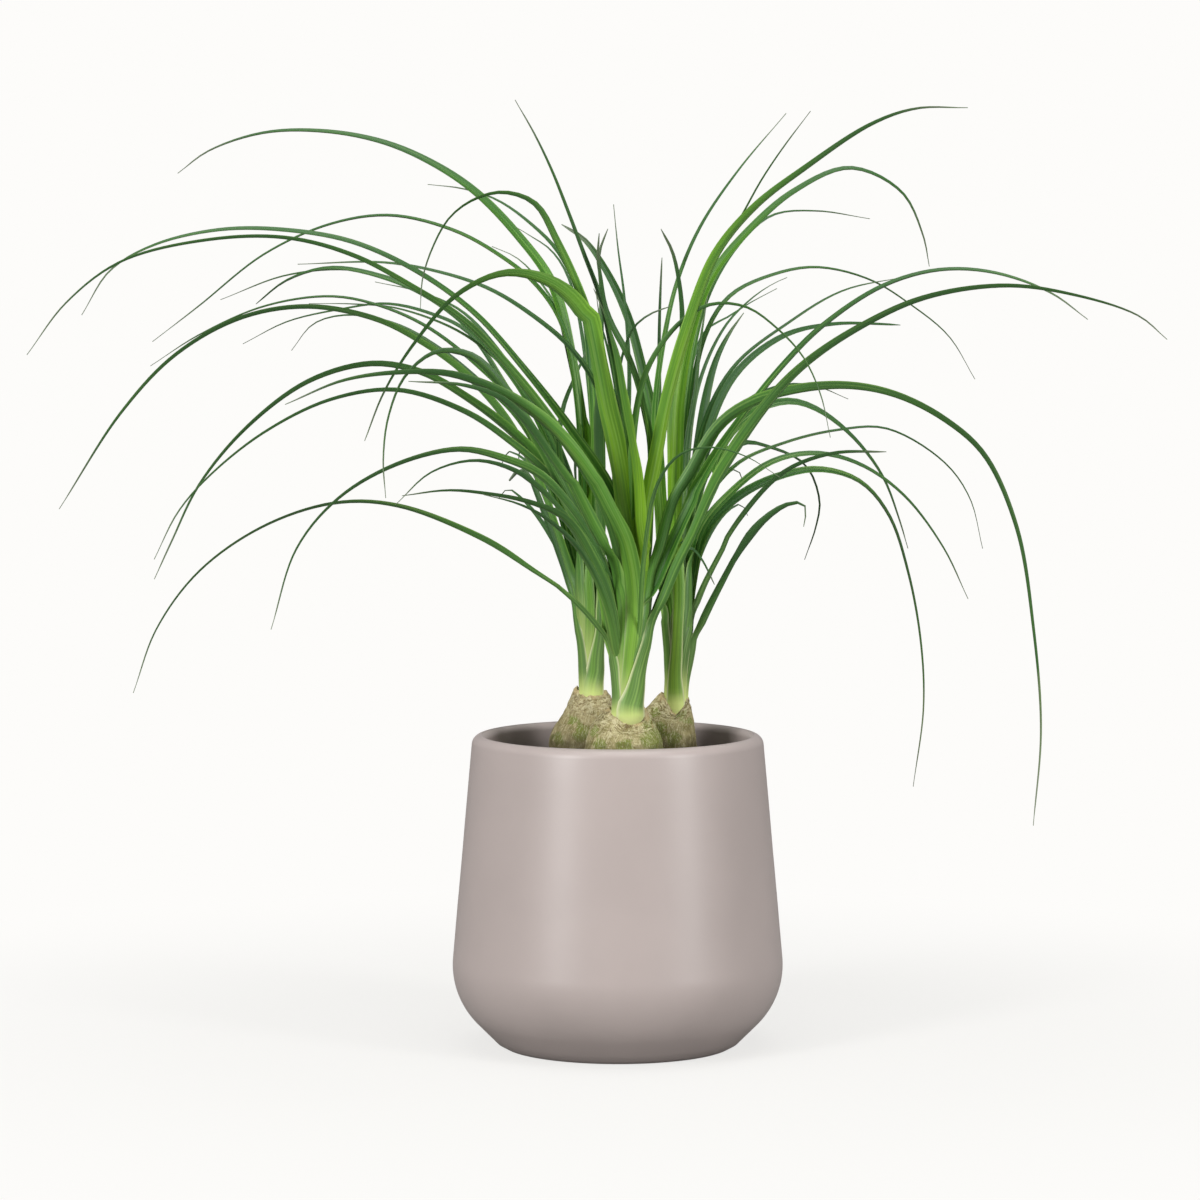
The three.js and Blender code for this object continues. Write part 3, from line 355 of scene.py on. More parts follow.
# Feet in view: for a row of LEAVES, how far its foot stands out of the stem's surface, how far above the
# neck it stays pale, and its edges as seen: height, left edge and right edge at each.
FEET = {
    "front": {
        25: (1.6, 9, [147, -0.6, 12.2, 151, -0.6, 12.3, 155.5, -0.4, 12.2, 160, 2, 12.3, 165, 4, 12.6, 171,
            6, 12.9, 183, 10, 15.2, 196, 14.5, 19.4, 208, 19.6, 24.2, 220, 24.3, 29.4, 232, 30.5, 35]),
        23: (0.8, 18, [172, 4, 10.5, 184, 8, 13, 200, 11.4, 15.6, 209, 12.7, 17.8, 217, 13.5, 19.2, 232,
            17.3, 22.6, 250, 22.7, 28, 263, 30, 37]),
        24: (0.2, 18, [195, 9, 14, 205, 12.5, 18, 215, 16.5, 21.5, 225, 20, 26.5, 238, 26.5, 32, 253, 33.5,
            39.5]),
        0: (1.2, 12, [147.5, -3.4, 1.2, 160, -2.8, 1.4, 168, -3.2, 0.8, 175, -4, 0.4, 181, -5.5, -1.3, 190,
            -9.6, -6.2, 202, -19.8, -16.6, 211, -29.6, -26.7]),
        2: (0.7, 26, [165, -3, 0.5, 178, -1.4, 1, 186, -1.4, 0.8, 195.5, -3, -0.2, 204.5, -4.8, -1.9, 215,
            -7.2, -4.5, 224, -11, -8.2, 232, -16.2, -13, 242, -24.6, -21.5]),
        1: (0.3, 14, [175, -2, 2, 186, -1, 2, 195, -1.4, 1.4, 202.5, -2.3, 0.3, 213, -4.9, -2, 221, -8.2,
            -4.9, 232.8, -14.3, -9.8, 240.4, -18.6, -14.4]),
        8: (0.7, 28, [147, 0.4, 8, 157, 0.6, 8, 165, 0.8, 9, 180, 2.1, 10, 190, 2.7, 11.3, 200, 3.4, 11.6,
            210, 2.9, 11.4, 220, 2, 10.2, 232, -0.6, 7.3, 246.5, -7, -0.3, 260, -13.6, -7.4]),
        26: (0.4, 40, [147, -3, 4, 170, -2.4, 4, 180, -1.5, 4.2, 190, -0.8, 4.6, 200, -0.7, 4.6, 210, -2.3,
            3.8, 220, -5.9, 1, 230, -9.9, -3.3, 240, -15.5, -8.5, 260, -24.4, -19.4]),
        12: (-0.6, 30, [185, 3, 11, 215, 3, 11, 230, 1.6, 10.2, 240, 0, 8.4, 250, -1.6, 6.6, 262, -3.2, 4.8,
            278, -6.9, 2.6, 293, -10.2, -1.2, 308, -12.5, -4.8, 320, -14.7, -7.2, 333, -18, -9.2]),
        17: (-0.2, 30, [185, 7, 14, 215, 8.3, 13.8, 230, 8.2, 14, 240, 9.5, 15.3, 250, 10.5, 16.6, 262,
            12.6, 19.4, 280, 16.6, 22.7]),
        16: (-1, 30, [190, 5, 12, 225, 5, 12.5, 240, 4.6, 12, 255, 4.4, 11, 266, 3.6, 9.8, 277, 2.6, 7.8,
            288, 0, 6.2, 300, -1.6, 3.6, 311, -3, 1.6]),
    },
    "left": {
        20: (0.9, 16, [157, -17.6, -12.5, 172, -18, -13.4, 180.5, -18.3, -14.4, 187.5, -19.1, -15.6, 195.5,
            -20.9, -17.6, 212.7, -24.9, -21.6, 230.2, -30.8, -27.4, 259.7, -41.3, -38.6]),
        13: (1.2, 13, [157, -17.2, -6.4, 166, -16.2, -6.3, 172, -14.6, -6, 179, -13, -6.1, 190, -10.4, -5.8,
            200, -10, -5.6, 215, -9.4, -4.6, 240, -8.2, -3.4, 285, -8.8, -3.6]),
        0: (0.4, 46, [157, -16.6, -9, 180, -16, -9.6, 200, -15.2, -10, 220, -16.5, -11.5, 250, -17, -12.6,
            285, -17, -13]),
        2: (0.6, 60, [157, -18, -12.6, 180, -17.8, -12.6, 200, -19.2, -14.4, 210, -19.8, -14.8, 230, -20.6,
            -16, 250, -21, -17]),
        3: (0.3, 30, [175, -18, -14, 200, -20.6, -16.6, 215, -24, -19.4, 230, -28, -24.4, 248, -34, -30.6]),
    },
    "right": {
        4: (1.2, 8, [150, 22.6, 30, 156, 22, 30.6, 160, 22.2, 30.3, 170, 22.8, 29.2, 180, 23.8, 29.4, 190,
            24.4, 29.6, 210, 25, 30.4, 235, 23.4, 29.4, 290, 24, 32]),
        3: (0.6, 20, [154, 20.6, 26, 165, 20.8, 25.4, 172, 20.9, 25, 182.4, 20.1, 24.4, 192, 18.9, 23.4,
            210, 17.6, 22.4, 240, 17, 21.4]),
        18: (1, 14, [153, 29, 31.8, 165, 29.9, 32.3, 172, 30.3, 33.4, 180, 31.2, 35.2, 190, 34.8, 38.7, 200,
            39.3, 43.3, 220, 50, 53.2]),
        17: (0.5, 22, [153, 26, 31, 175, 27.6, 32, 185, 29.2, 33.4, 190, 30.4, 34.3, 195, 32.1, 35.7, 210,
            37.9, 41, 230, 48.3, 50.8]),
        13: (0.2, 26, [165, 26.5, 31, 190, 28.2, 33, 200, 29.2, 34, 220, 31.4, 36.1, 238, 34.5, 38.6, 262,
            45.3, 48.8]),
    },
}
# A tip nearer the viewer than this belongs to a leaf whose foot clasps the side of the stem in view.
NEAR_SIDE = {"front": -60, "left": 28, "right": 28}

# Blades
BLADE_THICK_AT_FOOT = 1.0
BLADE_THICK_AT_TIP = 0.5
BLADE_LEAST_WIDTH = 0.4
THICKEST_SHARE = 0.7  # of the width
NARROW_FOOT, FOOT_WIDENS = 0.9, 0.15
CHANNEL_DEPTH = 0.24  # of the width
CHANNEL_POWER, EDGE_POWER = 1.35, 2.5
TURN_RUN = 0.5
SWAY_RUN, SWAYS = 0.3, 4
SWAY_APART, SWAY_PLACE = 7.3, 1.5  # where the leaves lie in the noise
TAPER = 0.7
DEPTH_BEND = 1.35
LEAN, LEAN_RUN = 4, 60
POINTS_ACROSS = 9
FEWEST_STEPS = 24
MM_A_STEP = 4.2
FREE_CURL = 99.0  # stands for flat, where a blade is free
MOST_CURL = 1.5  # radians to each side

# Feet. A hidden foot climbs the stem inside the ones that leave it lower down, and then leads out.
LAYER, LAYER_RUN = 0.42, 14
HIDDEN_LAYER = 1.2
HIDDEN_STEP, HIDDEN_FEWEST = 3, 8
LEAST_RADIUS = 2.0
FOOT_SINK = 1.5
LEAD_OUT, LEAST_CLASP = 42, 4
HIDDEN_WIDTH, HIDDEN_SPREAD = 7, 1.25
HIDDEN_GROWN = 1.2
NEIGHBOUR_BEARING = 75
SEEN_STEP, CURVE_STEPS = 2.4, 12
TUCK, TUCK_RUN = 2.2, 3
LARGEST_SINE = 0.97
LEAVES_SIDE = (0.7, 1.4)  # of the stem's radius
LEAVES_CROWN = (-18, 27)
LEAST_SHOWN = 0.4
FOOT_FADE = 0.15
CLEAR_OF_STEM, CLEAR_OF_CROWN = 1.0, 6

# Colour along a blade, by its share of the length or by millimetres above the neck.
YOUNG_LOST, YOUNG_FADES = 0.75, (0.15, 0.9)
# The outer half of a blade is painted darker as shade, from a share that comes later on fresher leaves.
SHADE_FROM, SHADE_LATER_IF_FRESH, SHADE_RUN = 0.2, 0.35, 0.42
TIP_DRIES = (0.86, 1)
PALE_RUN, LONG_PALE_RUN, LONG_PALE = 20, 75, 0.1
PALE_ENDS = (0.4, 0.3)
CREAM_FADES, CREAM_EDGE = (69, 9), (0.8, 1)
HEM, HEM_CREAM = 6, 0.5

# The middle of a stem, inside all the clasping feet.
CORE_RINGS, CORE_SIDES = 22, 24
CORE_BELOW_CROWN = 14
CORE_WIDTH, CORE_TAPER = 0.62, 0.42
CORE_NUMBER = 91  # a leaf number that no leaf has
CORE_FRESH, CORE_MARGIN = 0.45, 0.5
CORE_PALE, CORE_GREENS = 0.8, 0.6


# Meshes

def mesh_piece(name, points, faces, material, sharp=50):
    """A piece made of points in millimetres, smooth except at edges sharper than the angle."""
    mesh = bpy.data.meshes.new(name)
    mesh.from_pydata((np.asarray(points) * MM).tolist(), [], faces)
    mesh.validate()
    mesh.shade_smooth()
    mesh.set_sharp_from_angle(angle=math.radians(sharp))
    mesh.materials.append(material)
    piece = bpy.data.objects.new(name, mesh)
    bpy.context.scene.collection.objects.link(piece)
    return piece


def hand_over(piece, node):
    """Lets a finished piece stand for its CAD node."""
    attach(piece, "root")
    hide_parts(node)


def vector_layer(mesh, name, values):
    """Keeps three values for each point of a mesh, for its material to read."""
    layer = mesh.attributes.new(name, "FLOAT_VECTOR", "POINT")
    layer.data.foreach_set("vector", np.asarray(values, np.float32).ravel())


def rings_to_faces(rings, sides, start=0):
    """Quads between neighbouring closed rings of sides points each."""
    faces = []
    for i in range(rings - 1):
        a = start + i * sides
        for j in range(sides):
            k = (j + 1) % sides
            faces.append((a + j, a + k, a + sides + k, a + sides + j))
    return faces


def turned(profile, sides):
    """Points and faces of a profile of radius and height pairs turned about the upright axis."""
    angles = [2 * math.pi * j / sides for j in range(sides)]
    rings = [[(r * math.cos(a), r * math.sin(a), z) for a in (angles if r > 1e-6 else [0])]
             for r, z in profile]
    starts = np.cumsum([0] + [len(ring) for ring in rings]).tolist()
    faces = []
    for i in range(len(rings) - 1):
        a, b = starts[i], starts[i + 1]
        for j in range(sides):
            k = (j + 1) % sides
            low = (a, ) if len(rings[i]) == 1 else (a + j, a + k)
            high = (b, ) if len(rings[i + 1]) == 1 else (b + k, b + j)
            faces.append(low + high)
    return np.vstack(rings), faces


def unit(v):
    return v / np.maximum(np.linalg.norm(v, axis=-1, keepdims=True), 1e-9)


class Curve:
    """A centripetal curve through points, run from 0 to 1 with an equal share for each span."""

    def __init__(self, points):
        p = np.asarray(points, float)
        self.spans = len(p) - 1
        p = np.vstack([2 * p[0] - p[1], p, 2 * p[-1] - p[-2]])
        gap = np.sqrt(np.linalg.norm(np.diff(p, axis=0), axis=1))[:, None]
        a, b, c = gap[:-2], gap[1:-1], gap[2:]
        p0, p1, p2, p3 = p[:-3], p[1:-2], p[2:-1], p[3:]
        t1 = ((p1 - p0) / a - (p2 - p0) / (a + b) + (p2 - p1) / b) * b
        t2 = ((p2 - p1) / b - (p3 - p1) / (b + c) + (p3 - p2) / c) * b
        self.terms = p1, t1, -3 * p1 + 3 * p2 - 2 * t1 - t2, 2 * p1 - 2 * p2 + t1 + t2

    def terms_at(self, t):
        """How far t is into its span, and that span's four terms."""
        at = np.clip(t, 0, 1) * self.spans
        span = np.minimum(at.astype(int), self.spans - 1)
        return (at - span)[:, None], [c[span] for c in self.terms]

    def point(self, t):
        w, (c0, c1, c2, c3) = self.terms_at(t)
        return c0 + w * (c1 + w * (c2 + w * c3))

    def along(self, t):
        w, (_, c1, c2, c3) = self.terms_at(t)
        return unit(c1 + w * (2 * c2 + w * 3 * c3))


# Materials

def add_node(tree, kind, links=(), **settings):
    """Adds a node. links gives its sockets, in order or by name or number, a value or a node's output."""
    made = tree.nodes.new(kind)
    for name, value in settings.items():
        setattr(made, name, value)
    for key, value in links.items() if isinstance(links, dict) else enumerate(links):
        socket = made.inputs[key]
        if isinstance(value, bpy.types.NodeSocket):
            tree.links.new(value, socket)
        else:
            socket.default_value = (*value[:3], 1) if socket.type == "RGBA" else value
    return made


def new_material(name):
    material = bpy.data.materials.new(name)
    material.use_nodes = True
    material.node_tree.nodes.clear()
    return material, material.node_tree


def finish_material(tree, **sockets):
    """The surface shader with its fixed values and links, and the output."""
    links = {name.replace("_", " "): value for name, value in sockets.items()}
    shader = add_node(tree, "ShaderNodeBsdfPrincipled", links)
    add_node(tree, "ShaderNodeOutputMaterial", (shader.outputs[0], ))


def layered(tree, colour, layers):
    """Lays colours over a colour, one after another. A layer is how it lies, its colour, and what gives its
    share: one or more readings that are multiplied. A reading is a finished share, or what is read, where it
    starts and ends, and the share at each of them."""
    for mode, tone, *readings in layers:
        share = None
        for reading in readings:
            if isinstance(reading, tuple):
                reading = add_node(tree, "ShaderNodeMapRange", reading,
                                   interpolation_type="SMOOTHSTEP").outputs[0]
            share = reading if share is None else add_node(
                tree, "ShaderNodeMath", (share, reading), operation="MULTIPLY").outputs[0]
        colour = add_node(tree, "ShaderNodeMix", {0: share, 6: colour, 7: tone}, data_type="RGBA",
                          blend_type=mode).outputs[2]
    return colour


def frayed(tree, value, noise_value, by):
    """A value moved up and down by a noise, by no more than the amount each way."""
    shift = add_node(tree, "ShaderNodeMapRange", (noise_value, 0.3, 0.7, -by, by),
                     interpolation_type="SMOOTHSTEP")
    return add_node(tree, "ShaderNodeMath", (value, shift.outputs[0]), operation="ADD").outputs[0]


def streaks(tree, vector, scale, detail=3.0):
    """Noise whose grains are one unit of the vector over the scale in each direction."""
    grain = add_node(tree, "ShaderNodeMapping", {"Vector": vector, "Scale": scale})
    return add_node(tree, "ShaderNodeTexNoise", {"Vector": grain.outputs[0], "Scale": 1.0, "Detail": detail,
                                                 "Roughness": 0.6}).outputs[0]


def stoneware(settings):
    """Slip-cast stoneware with a matt engobe, fettled and fired without a glaze: chalky, a very fine tooth
    that spreads each highlight, and a faint cloudiness from the sponge that wiped it."""
    material, tree = new_material("matt_stoneware")
    place = add_node(tree, "ShaderNodeTexCoord").outputs["Object"]
    # The sponge leaves clouds 38 mm across. The grit is 0.3 mm and drawn 0.9 mm, so that it shows.
    cloud = add_node(tree, "ShaderNodeTexNoise", {"Vector": place, "Scale": 1 / (38 * MM), "Detail": 3.0})
    grit = add_node(tree, "ShaderNodeTexNoise",
                    {"Vector": place, "Scale": 1 / (0.9 * MM), "Detail": 4.0, "Roughness": 0.65}).outputs[0]
    body = settings.body_colour
    colour = layered(tree, [0.96 * c for c in body], (
        ("MIX", body, (cloud.outputs[0], 0.3, 0.7, 0, 1)),
        ("MIX", [0.8 * c for c in body], (grit, 0.62, 0.8, 0, 0.35)),
    ))
    bump = add_node(tree, "ShaderNodeBump", {"Height": grit, "Strength": 0.18, "Distance": 0.12 * MM})
    finish_material(tree, Base_Color=colour, Roughness=0.38, IOR=1.5, Normal=bump.outputs[0],
                    Specular_IOR_Level=0.5)
    return material


def peat_mix(settings):
    """Moist peat and bark potting mix, tipped in and firmed by hand: near black crumbs, browner where
    they have dried, and dull all over."""
    material, tree = new_material("peat_potting_mix")
    place = add_node(tree, "ShaderNodeTexCoord").outputs["Object"]
    # Crumbs about 2 mm across, and damp patches of 7 mm.
    crumb = add_node(tree, "ShaderNodeTexVoronoi", {"Vector": place, "Scale": 1 / (2.2 * MM)}).outputs[0]
    damp = add_node(tree, "ShaderNodeTexNoise",
                    {"Vector": place, "Scale": 1 / (7 * MM), "Detail": 5.0}).outputs[0]
    colour = layered(tree, settings.crumb_colour, (
        ("MIX", [min(1, 2.4 * c) for c in settings.crumb_colour], (damp, 0.4, 0.7, 0, 1)),
        ("MULTIPLY", linear("#000000"), (crumb, 0.1, 0.7, 0.75, 0)),
    ))
    bump = add_node(tree, "ShaderNodeBump", {"Height": damp, "Strength": 0.7, "Distance": 1 * MM})
    finish_material(tree, Base_Color=colour, Roughness=0.93, Normal=bump.outputs[0],
                    Specular_IOR_Level=0.25)
    return material


def corky_bark(settings, name, mossy):
    """The skin of a swollen stem base, grown and stretched by the swelling under it: tan and olive cork with
    fine pale lines that run up it, brown scales that run round it below its rim, pits, and green where
    living bark shows through."""
    material, tree = new_material(name)
    place = add_node(tree, "ShaderNodeTexCoord").outputs["Object"]
    bark = add_node(tree, "ShaderNodeAttribute", attribute_name="bark").outputs["Vector"]
    low, papery, living = add_node(tree, "ShaderNodeSeparateXYZ", (bark, )).outputs
    # The skin is read round and up: the way round as a circle of radius 1, the way up in millimetres.
    grain = add_node(tree, "ShaderNodeAttribute", attribute_name="grain").outputs["Vector"]
    warp = add_node(tree, "ShaderNodeTexNoise", {"Vector": place, "Scale": 1 / (5 * MM), "Detail": 3.0})
    shift = add_node(tree, "ShaderNodeVectorMath", (warp.outputs["Color"], (0.3, 0.3, 5)),
                     operation="MULTIPLY").outputs[0]
    wavy = add_node(tree, "ShaderNodeVectorMath", (grain, shift), operation="ADD").outputs[0]
    # Blotches are 6 mm across and pits 0.9 mm. The lines that run up the skin are 0.6 mm wide and 7 mm
    # long, and the scales that run round it 4 mm wide and under 1 mm high.
    blotch = streaks(tree, place, (1 / (6 * MM),) * 3)
    fine = streaks(tree, place, (1 / (0.9 * MM),) * 3, 4.0)
    lines = streaks(tree, wavy, (30, 30, 0.14))
    scales = streaks(tree, wavy, (4, 4, 1.5))
    near_rim = (papery, -4.5, -1, 0, 1)  # the scales cover about the top 10 mm and thin out below it
    colour = layered(tree, settings.bark_dark, (
        ("MIX", settings.bark_colour, (blotch, 0.36, 0.62, 0, 1)),
        ("MIX", settings.moss_colour, (frayed(tree, living, fine, 0.2), 0.15, 1, 0.1 + 0.25 * mossy, 0.9)),
        ("MIX", settings.fleck_colour, (lines, 0.5, 0.62, 0, 0.48)),
        ("MIX", settings.bark_dark, (lines, 0.36, 0.46, 0.5, 0)),
        ("MIX", settings.fleck_colour, (scales, 0.51, 0.62, 0, 0.5), near_rim),
        ("MIX", settings.crack_colour, (scales, 0.38, 0.49, 0.7, 0), near_rim),
        ("MIX", settings.crack_colour, (fine, 0.3, 0.4, 0.7, 0)),
        ("MIX", settings.fleck_colour, (fine, 0.58, 0.7, 0, 0.42)),
        ("MIX", settings.paper_colour, (papery, 0, 1, 0, 0.6)),
        # Darker towards the bottom of each bulb, near the soil.
        ("MIX", settings.darkening_colour, (low, 0, 1, 0.8, 0)),
    ))
    height = add_node(tree, "ShaderNodeMath", (fine, lines), operation="ADD").outputs[0]
    bump = add_node(tree, "ShaderNodeBump", {"Height": height, "Strength": 0.5, "Distance": 0.5 * MM})
    finish_material(tree, Base_Color=colour, Roughness=0.7, Normal=bump.outputs[0], Specular_IOR_Level=0.35)
    return material


def leaf_blade(settings):
    """The living blade of a ponytail palm: a tough cuticle with a satin shine, fine veins that run its
    whole length, painted shade in the groove down the middle of some blades and a painted highlight down the
    middle of others, margins that are partly paler in their own green and partly painted with the glow of
    light through their thin edges, a cream foot, painted shade over its outer half and a dry grey tip."""
    material, tree = new_material("living_leaf_blade")
    strip, tone, edge = (add_node(tree, "ShaderNodeAttribute", attribute_name=name).outputs["Vector"]
                         for name in ("strip", "tone", "edge"))
    fresh, shade_and_dry_tip, under = add_node(tree, "ShaderNodeSeparateXYZ", (tone, )).outputs
    margin, foot, sheath = add_node(tree, "ShaderNodeSeparateXYZ", (edge, )).outputs
    number = add_node(tree, "ShaderNodeSeparateXYZ", (strip, )).outputs[2]
    # The veins are 0.5 mm apart and drawn 0.8 mm apart, so that they show.
    vein = streaks(tree, strip, (1.3, 0.012, 3.7), 2.0)
    drift = streaks(tree, strip, (0.22, 0.016, 5.3), 2.0)
    fresh = frayed(tree, fresh, drift, 0.16)
    kind = add_node(tree, "ShaderNodeTexWhiteNoise", {"W": number}, noise_dimensions="1D").outputs["Value"]
    colour = layered(tree, settings.deep_green, (
        ("MIX", settings.mid_green, (fresh, 0, 0.5, 0, 1)),
        ("MIX", settings.lime_green, (fresh, 0.3, 1, 0, 1)),
        ("MULTIPLY", linear("#ADBFAA"), (vein, 0.4, 0.55, 0.6, 0)),
        ("MIX", settings.margin_and_highlight_colour, (vein, 0.54, 0.66, 0, 0.4)),
        # Painted shade in the groove down the middle of some blades, and a painted highlight down the middle
        # of others.
        ("MULTIPLY", linear("#ADBCA6"), (margin, 0, 0.24, 1, 0), (kind, 0.3, 0.6, 0.4, 0)),
        ("MIX", settings.margin_and_highlight_colour, (margin, 0, 0.13, 1, 0), (kind, 0.5, 0.8, 0, 0.5)),
        ("MIX", settings.under_green, (under, 0.2, 1, 0, 0.25)),
        # Paler margins: partly their own paler green, partly painted glow of light through the thin edges.
        ("MIX", settings.margin_and_highlight_colour, (margin, 0.78, 1, 0, 0.38)),
        ("MIX", settings.foot_colour, foot),
        ("MIX", settings.cream_colour, sheath),
        # Painted shade over the outer half of each blade, and after it the dry tip's own colour.
        ("MIX", settings.outer_shade_green, (shade_and_dry_tip, 0, 1, 0, 0.72)),
        ("MIX", settings.tip_colour, (shade_and_dry_tip, 1, 2, 0, 0.7)),
    ))
    bump = add_node(tree, "ShaderNodeBump", {"Height": vein, "Strength": 0.25, "Distance": 0.25 * MM})
    finish_material(tree, Base_Color=colour, Roughness=0.42, Normal=bump.outputs[0], Specular_IOR_Level=0.3)
    return material


def backdrop_paper(settings):
    """White background paper that is lit until it shines evenly, and keeps only a soft shadow."""
    material, tree = new_material("background_paper")
    place = add_node(tree, "ShaderNodeTexCoord").outputs["Object"]
    white = settings.paper_colour
    # The paper takes a shadow in full within 160 mm of the pot's axis and shines evenly from 500 mm out.
    far = add_node(tree, "ShaderNodeVectorMath", (place, ), operation="LENGTH").outputs["Value"]
    share = add_node(tree, "ShaderNodeMapRange", (far, 160 * MM, 500 * MM, 0, 1),
                     interpolation_type="SMOOTHSTEP")
    matt = add_node(tree, "ShaderNodeBsdfDiffuse", {"Color": linear("#737371")})
    glow = add_node(tree, "ShaderNodeEmission", {"Color": white, "Strength": settings.paper_glow})
    near = add_node(tree, "ShaderNodeAddShader", (matt.outputs[0], glow.outputs[0]))
    even = add_node(tree, "ShaderNodeEmission", {"Color": white, "Strength": 1.0})
    mixed = add_node(tree, "ShaderNodeMixShader", (share.outputs[0], near.outputs[0], even.outputs[0]))
    seen = add_node(tree, "ShaderNodeLightPath").outputs["Is Camera Ray"]
    dull = add_node(tree, "ShaderNodeBsdfDiffuse", {"Color": linear("#959593")})
    shown = add_node(tree, "ShaderNodeMixShader", (seen, dull.outputs[0], mixed.outputs[0]))
    add_node(tree, "ShaderNodeOutputMaterial", (shown.outputs[0], ))
    return material


# Pot

def arc(middle, radius, start, end, steps):
    angles = np.linspace(start, end, steps + 1)
    return [(middle[0] + radius * math.cos(a), middle[1] + radius * math.sin(a)) for a in angles]


def between(start, end, steps):
    """The points that part the line from start to end in equal steps, without its ends."""
    return [tuple(p) for p in np.linspace(start, end, steps + 1)[1:-1]]


def pot_profile():
    """The pot's outline from the middle of its underside, over the lip and down to its inner floor."""
    side_angle = math.atan(SIDE_TAPER)
    corner_z = (SIDE_RADIUS_AT_BASE - CHAMFER_OFFSET) / (1 + SIDE_TAPER)
    corner_r = SIDE_RADIUS_AT_BASE - SIDE_TAPER * corner_z
    tangent = BELLY_FILLET * math.tan((side_angle + CHAMFER_ANGLE) / 2)
    diagonal = math.sqrt(0.5)
    centre = (corner_r - (tangent + BELLY_FILLET) * diagonal, corner_z + (BELLY_FILLET - tangent) * diagonal)
    belly = arc(centre, BELLY_FILLET, -CHAMFER_ANGLE, side_angle, BELLY_STEPS)
    lip_z = POT_HEIGHT - LIP_ROUND
    lip_r = SIDE_RADIUS_AT_BASE - SIDE_TAPER * lip_z - LIP_SET_IN
    lip = arc((lip_r, lip_z), LIP_ROUND, side_angle, math.pi / 2, LIP_STEPS)
    inner_lip = arc((MOUTH_RADIUS + INNER_LIP_ROUND, POT_HEIGHT - INNER_LIP_ROUND), INNER_LIP_ROUND,
                    math.pi / 2, math.pi, INNER_LIP_STEPS)
    foot = [(FOOT_RADIUS * share, 0) for share in FOOT_RINGS]
    foot += [(FOOT_RADIUS + past, z) for past, z in FOOT_WORN] + [(CHAMFER_OFFSET + FOOT_EDGE, FOOT_EDGE)]
    inner_wall = [(MOUTH_RADIUS + past, z) for past, z in reversed(INNER_WALL)]
    return (foot + between(foot[-1], belly[0], CHAMFER_STEPS) + belly + between(belly[-1], lip[0], SIDE_STEPS)
            + lip + inner_lip[1:] + inner_wall + [(0, POT_FLOOR)])


class PotSettings(bpy.types.PropertyGroup):
    body_colour: tint("Body colour", "Colour of the fired clay body", "#AFA39F")
    tooth: small_length("Tooth", "How far the wiped surface wanders from a true round", 0.08, 0.5)


class PALM_OT_pot(bpy.types.Operator):
    """Builds the round stoneware pot with its bevelled foot and rolled lip"""
    bl_idname = "palm.pot"
    bl_label = "Pot"

    def execute(self, context):
        settings = context.scene.palm_pot
        points, faces = turned(pot_profile(), POT_SIDES)
        for i, (x, y, z) in enumerate(points):
            r = math.hypot(x, y)
            if r > TRUE_RADIUS and z > TRUE_HEIGHT:
                points[i, :2] *= 1 + settings.tooth / MM * noise.noise(Vector((x, y, z)) / WIPE_SPAN) / r
        piece = mesh_piece("stoneware_pot", points, faces, stoneware(settings), sharp=60)
        hand_over(piece, "pot")
        return {"FINISHED"}


# Soil

class SoilSettings(bpy.types.PropertyGroup):
    crumb_colour: tint("Crumb colour", "Colour of the moist crumbs", "#2A1D15")
    relief: small_length("Crumb relief", "Height of the crumbs in the surface", 1.1, 3)


def soil_top(x, y, relief):
    """The height of the soil's surface, a low mound with crumbs."""
    mound = SOIL_MOUND * ease(math.hypot(x, y - SOIL_MOUND_DEPTH), SOIL_MOUND_RADIUS, 0)
    bumps = sum(share * noise.noise(Vector((x / span, y / span, place))) for span, place, share in SOIL_BUMPS)
    return SOIL_AT_WALL + mound - SOIL_SINK + relief * bumps


def add_crumb(points, faces, centre, size, rng):
    """A crumb of mix: a small block with eight uneven corners."""
    start = len(points)
    spin = rng.uniform(0, math.pi)
    c, s = math.cos(spin), math.sin(spin)
    stretch = [size * rng.uniform(*CRUMB_STRETCH) for _ in range(3)]
    for corner in ((x, y, z) for x in (-1, 1) for y in (-1, 1) for z in (-1, 1)):
        p = [e * side * rng.uniform(least, 1) for e, side, least in zip(stretch, corner, CRUMB_CORNER)]
        points.append((centre[0] + c * p[0] - s * p[1], centre[1] + s * p[0] + c * p[1], centre[2] + p[2]))
    for face in ((0, 1, 3, 2), (4, 6, 7, 5), (0, 4, 5, 1), (2, 3, 7, 6), (0, 2, 6, 4), (1, 5, 7, 3)):
        faces.append(tuple(start + i for i in face))


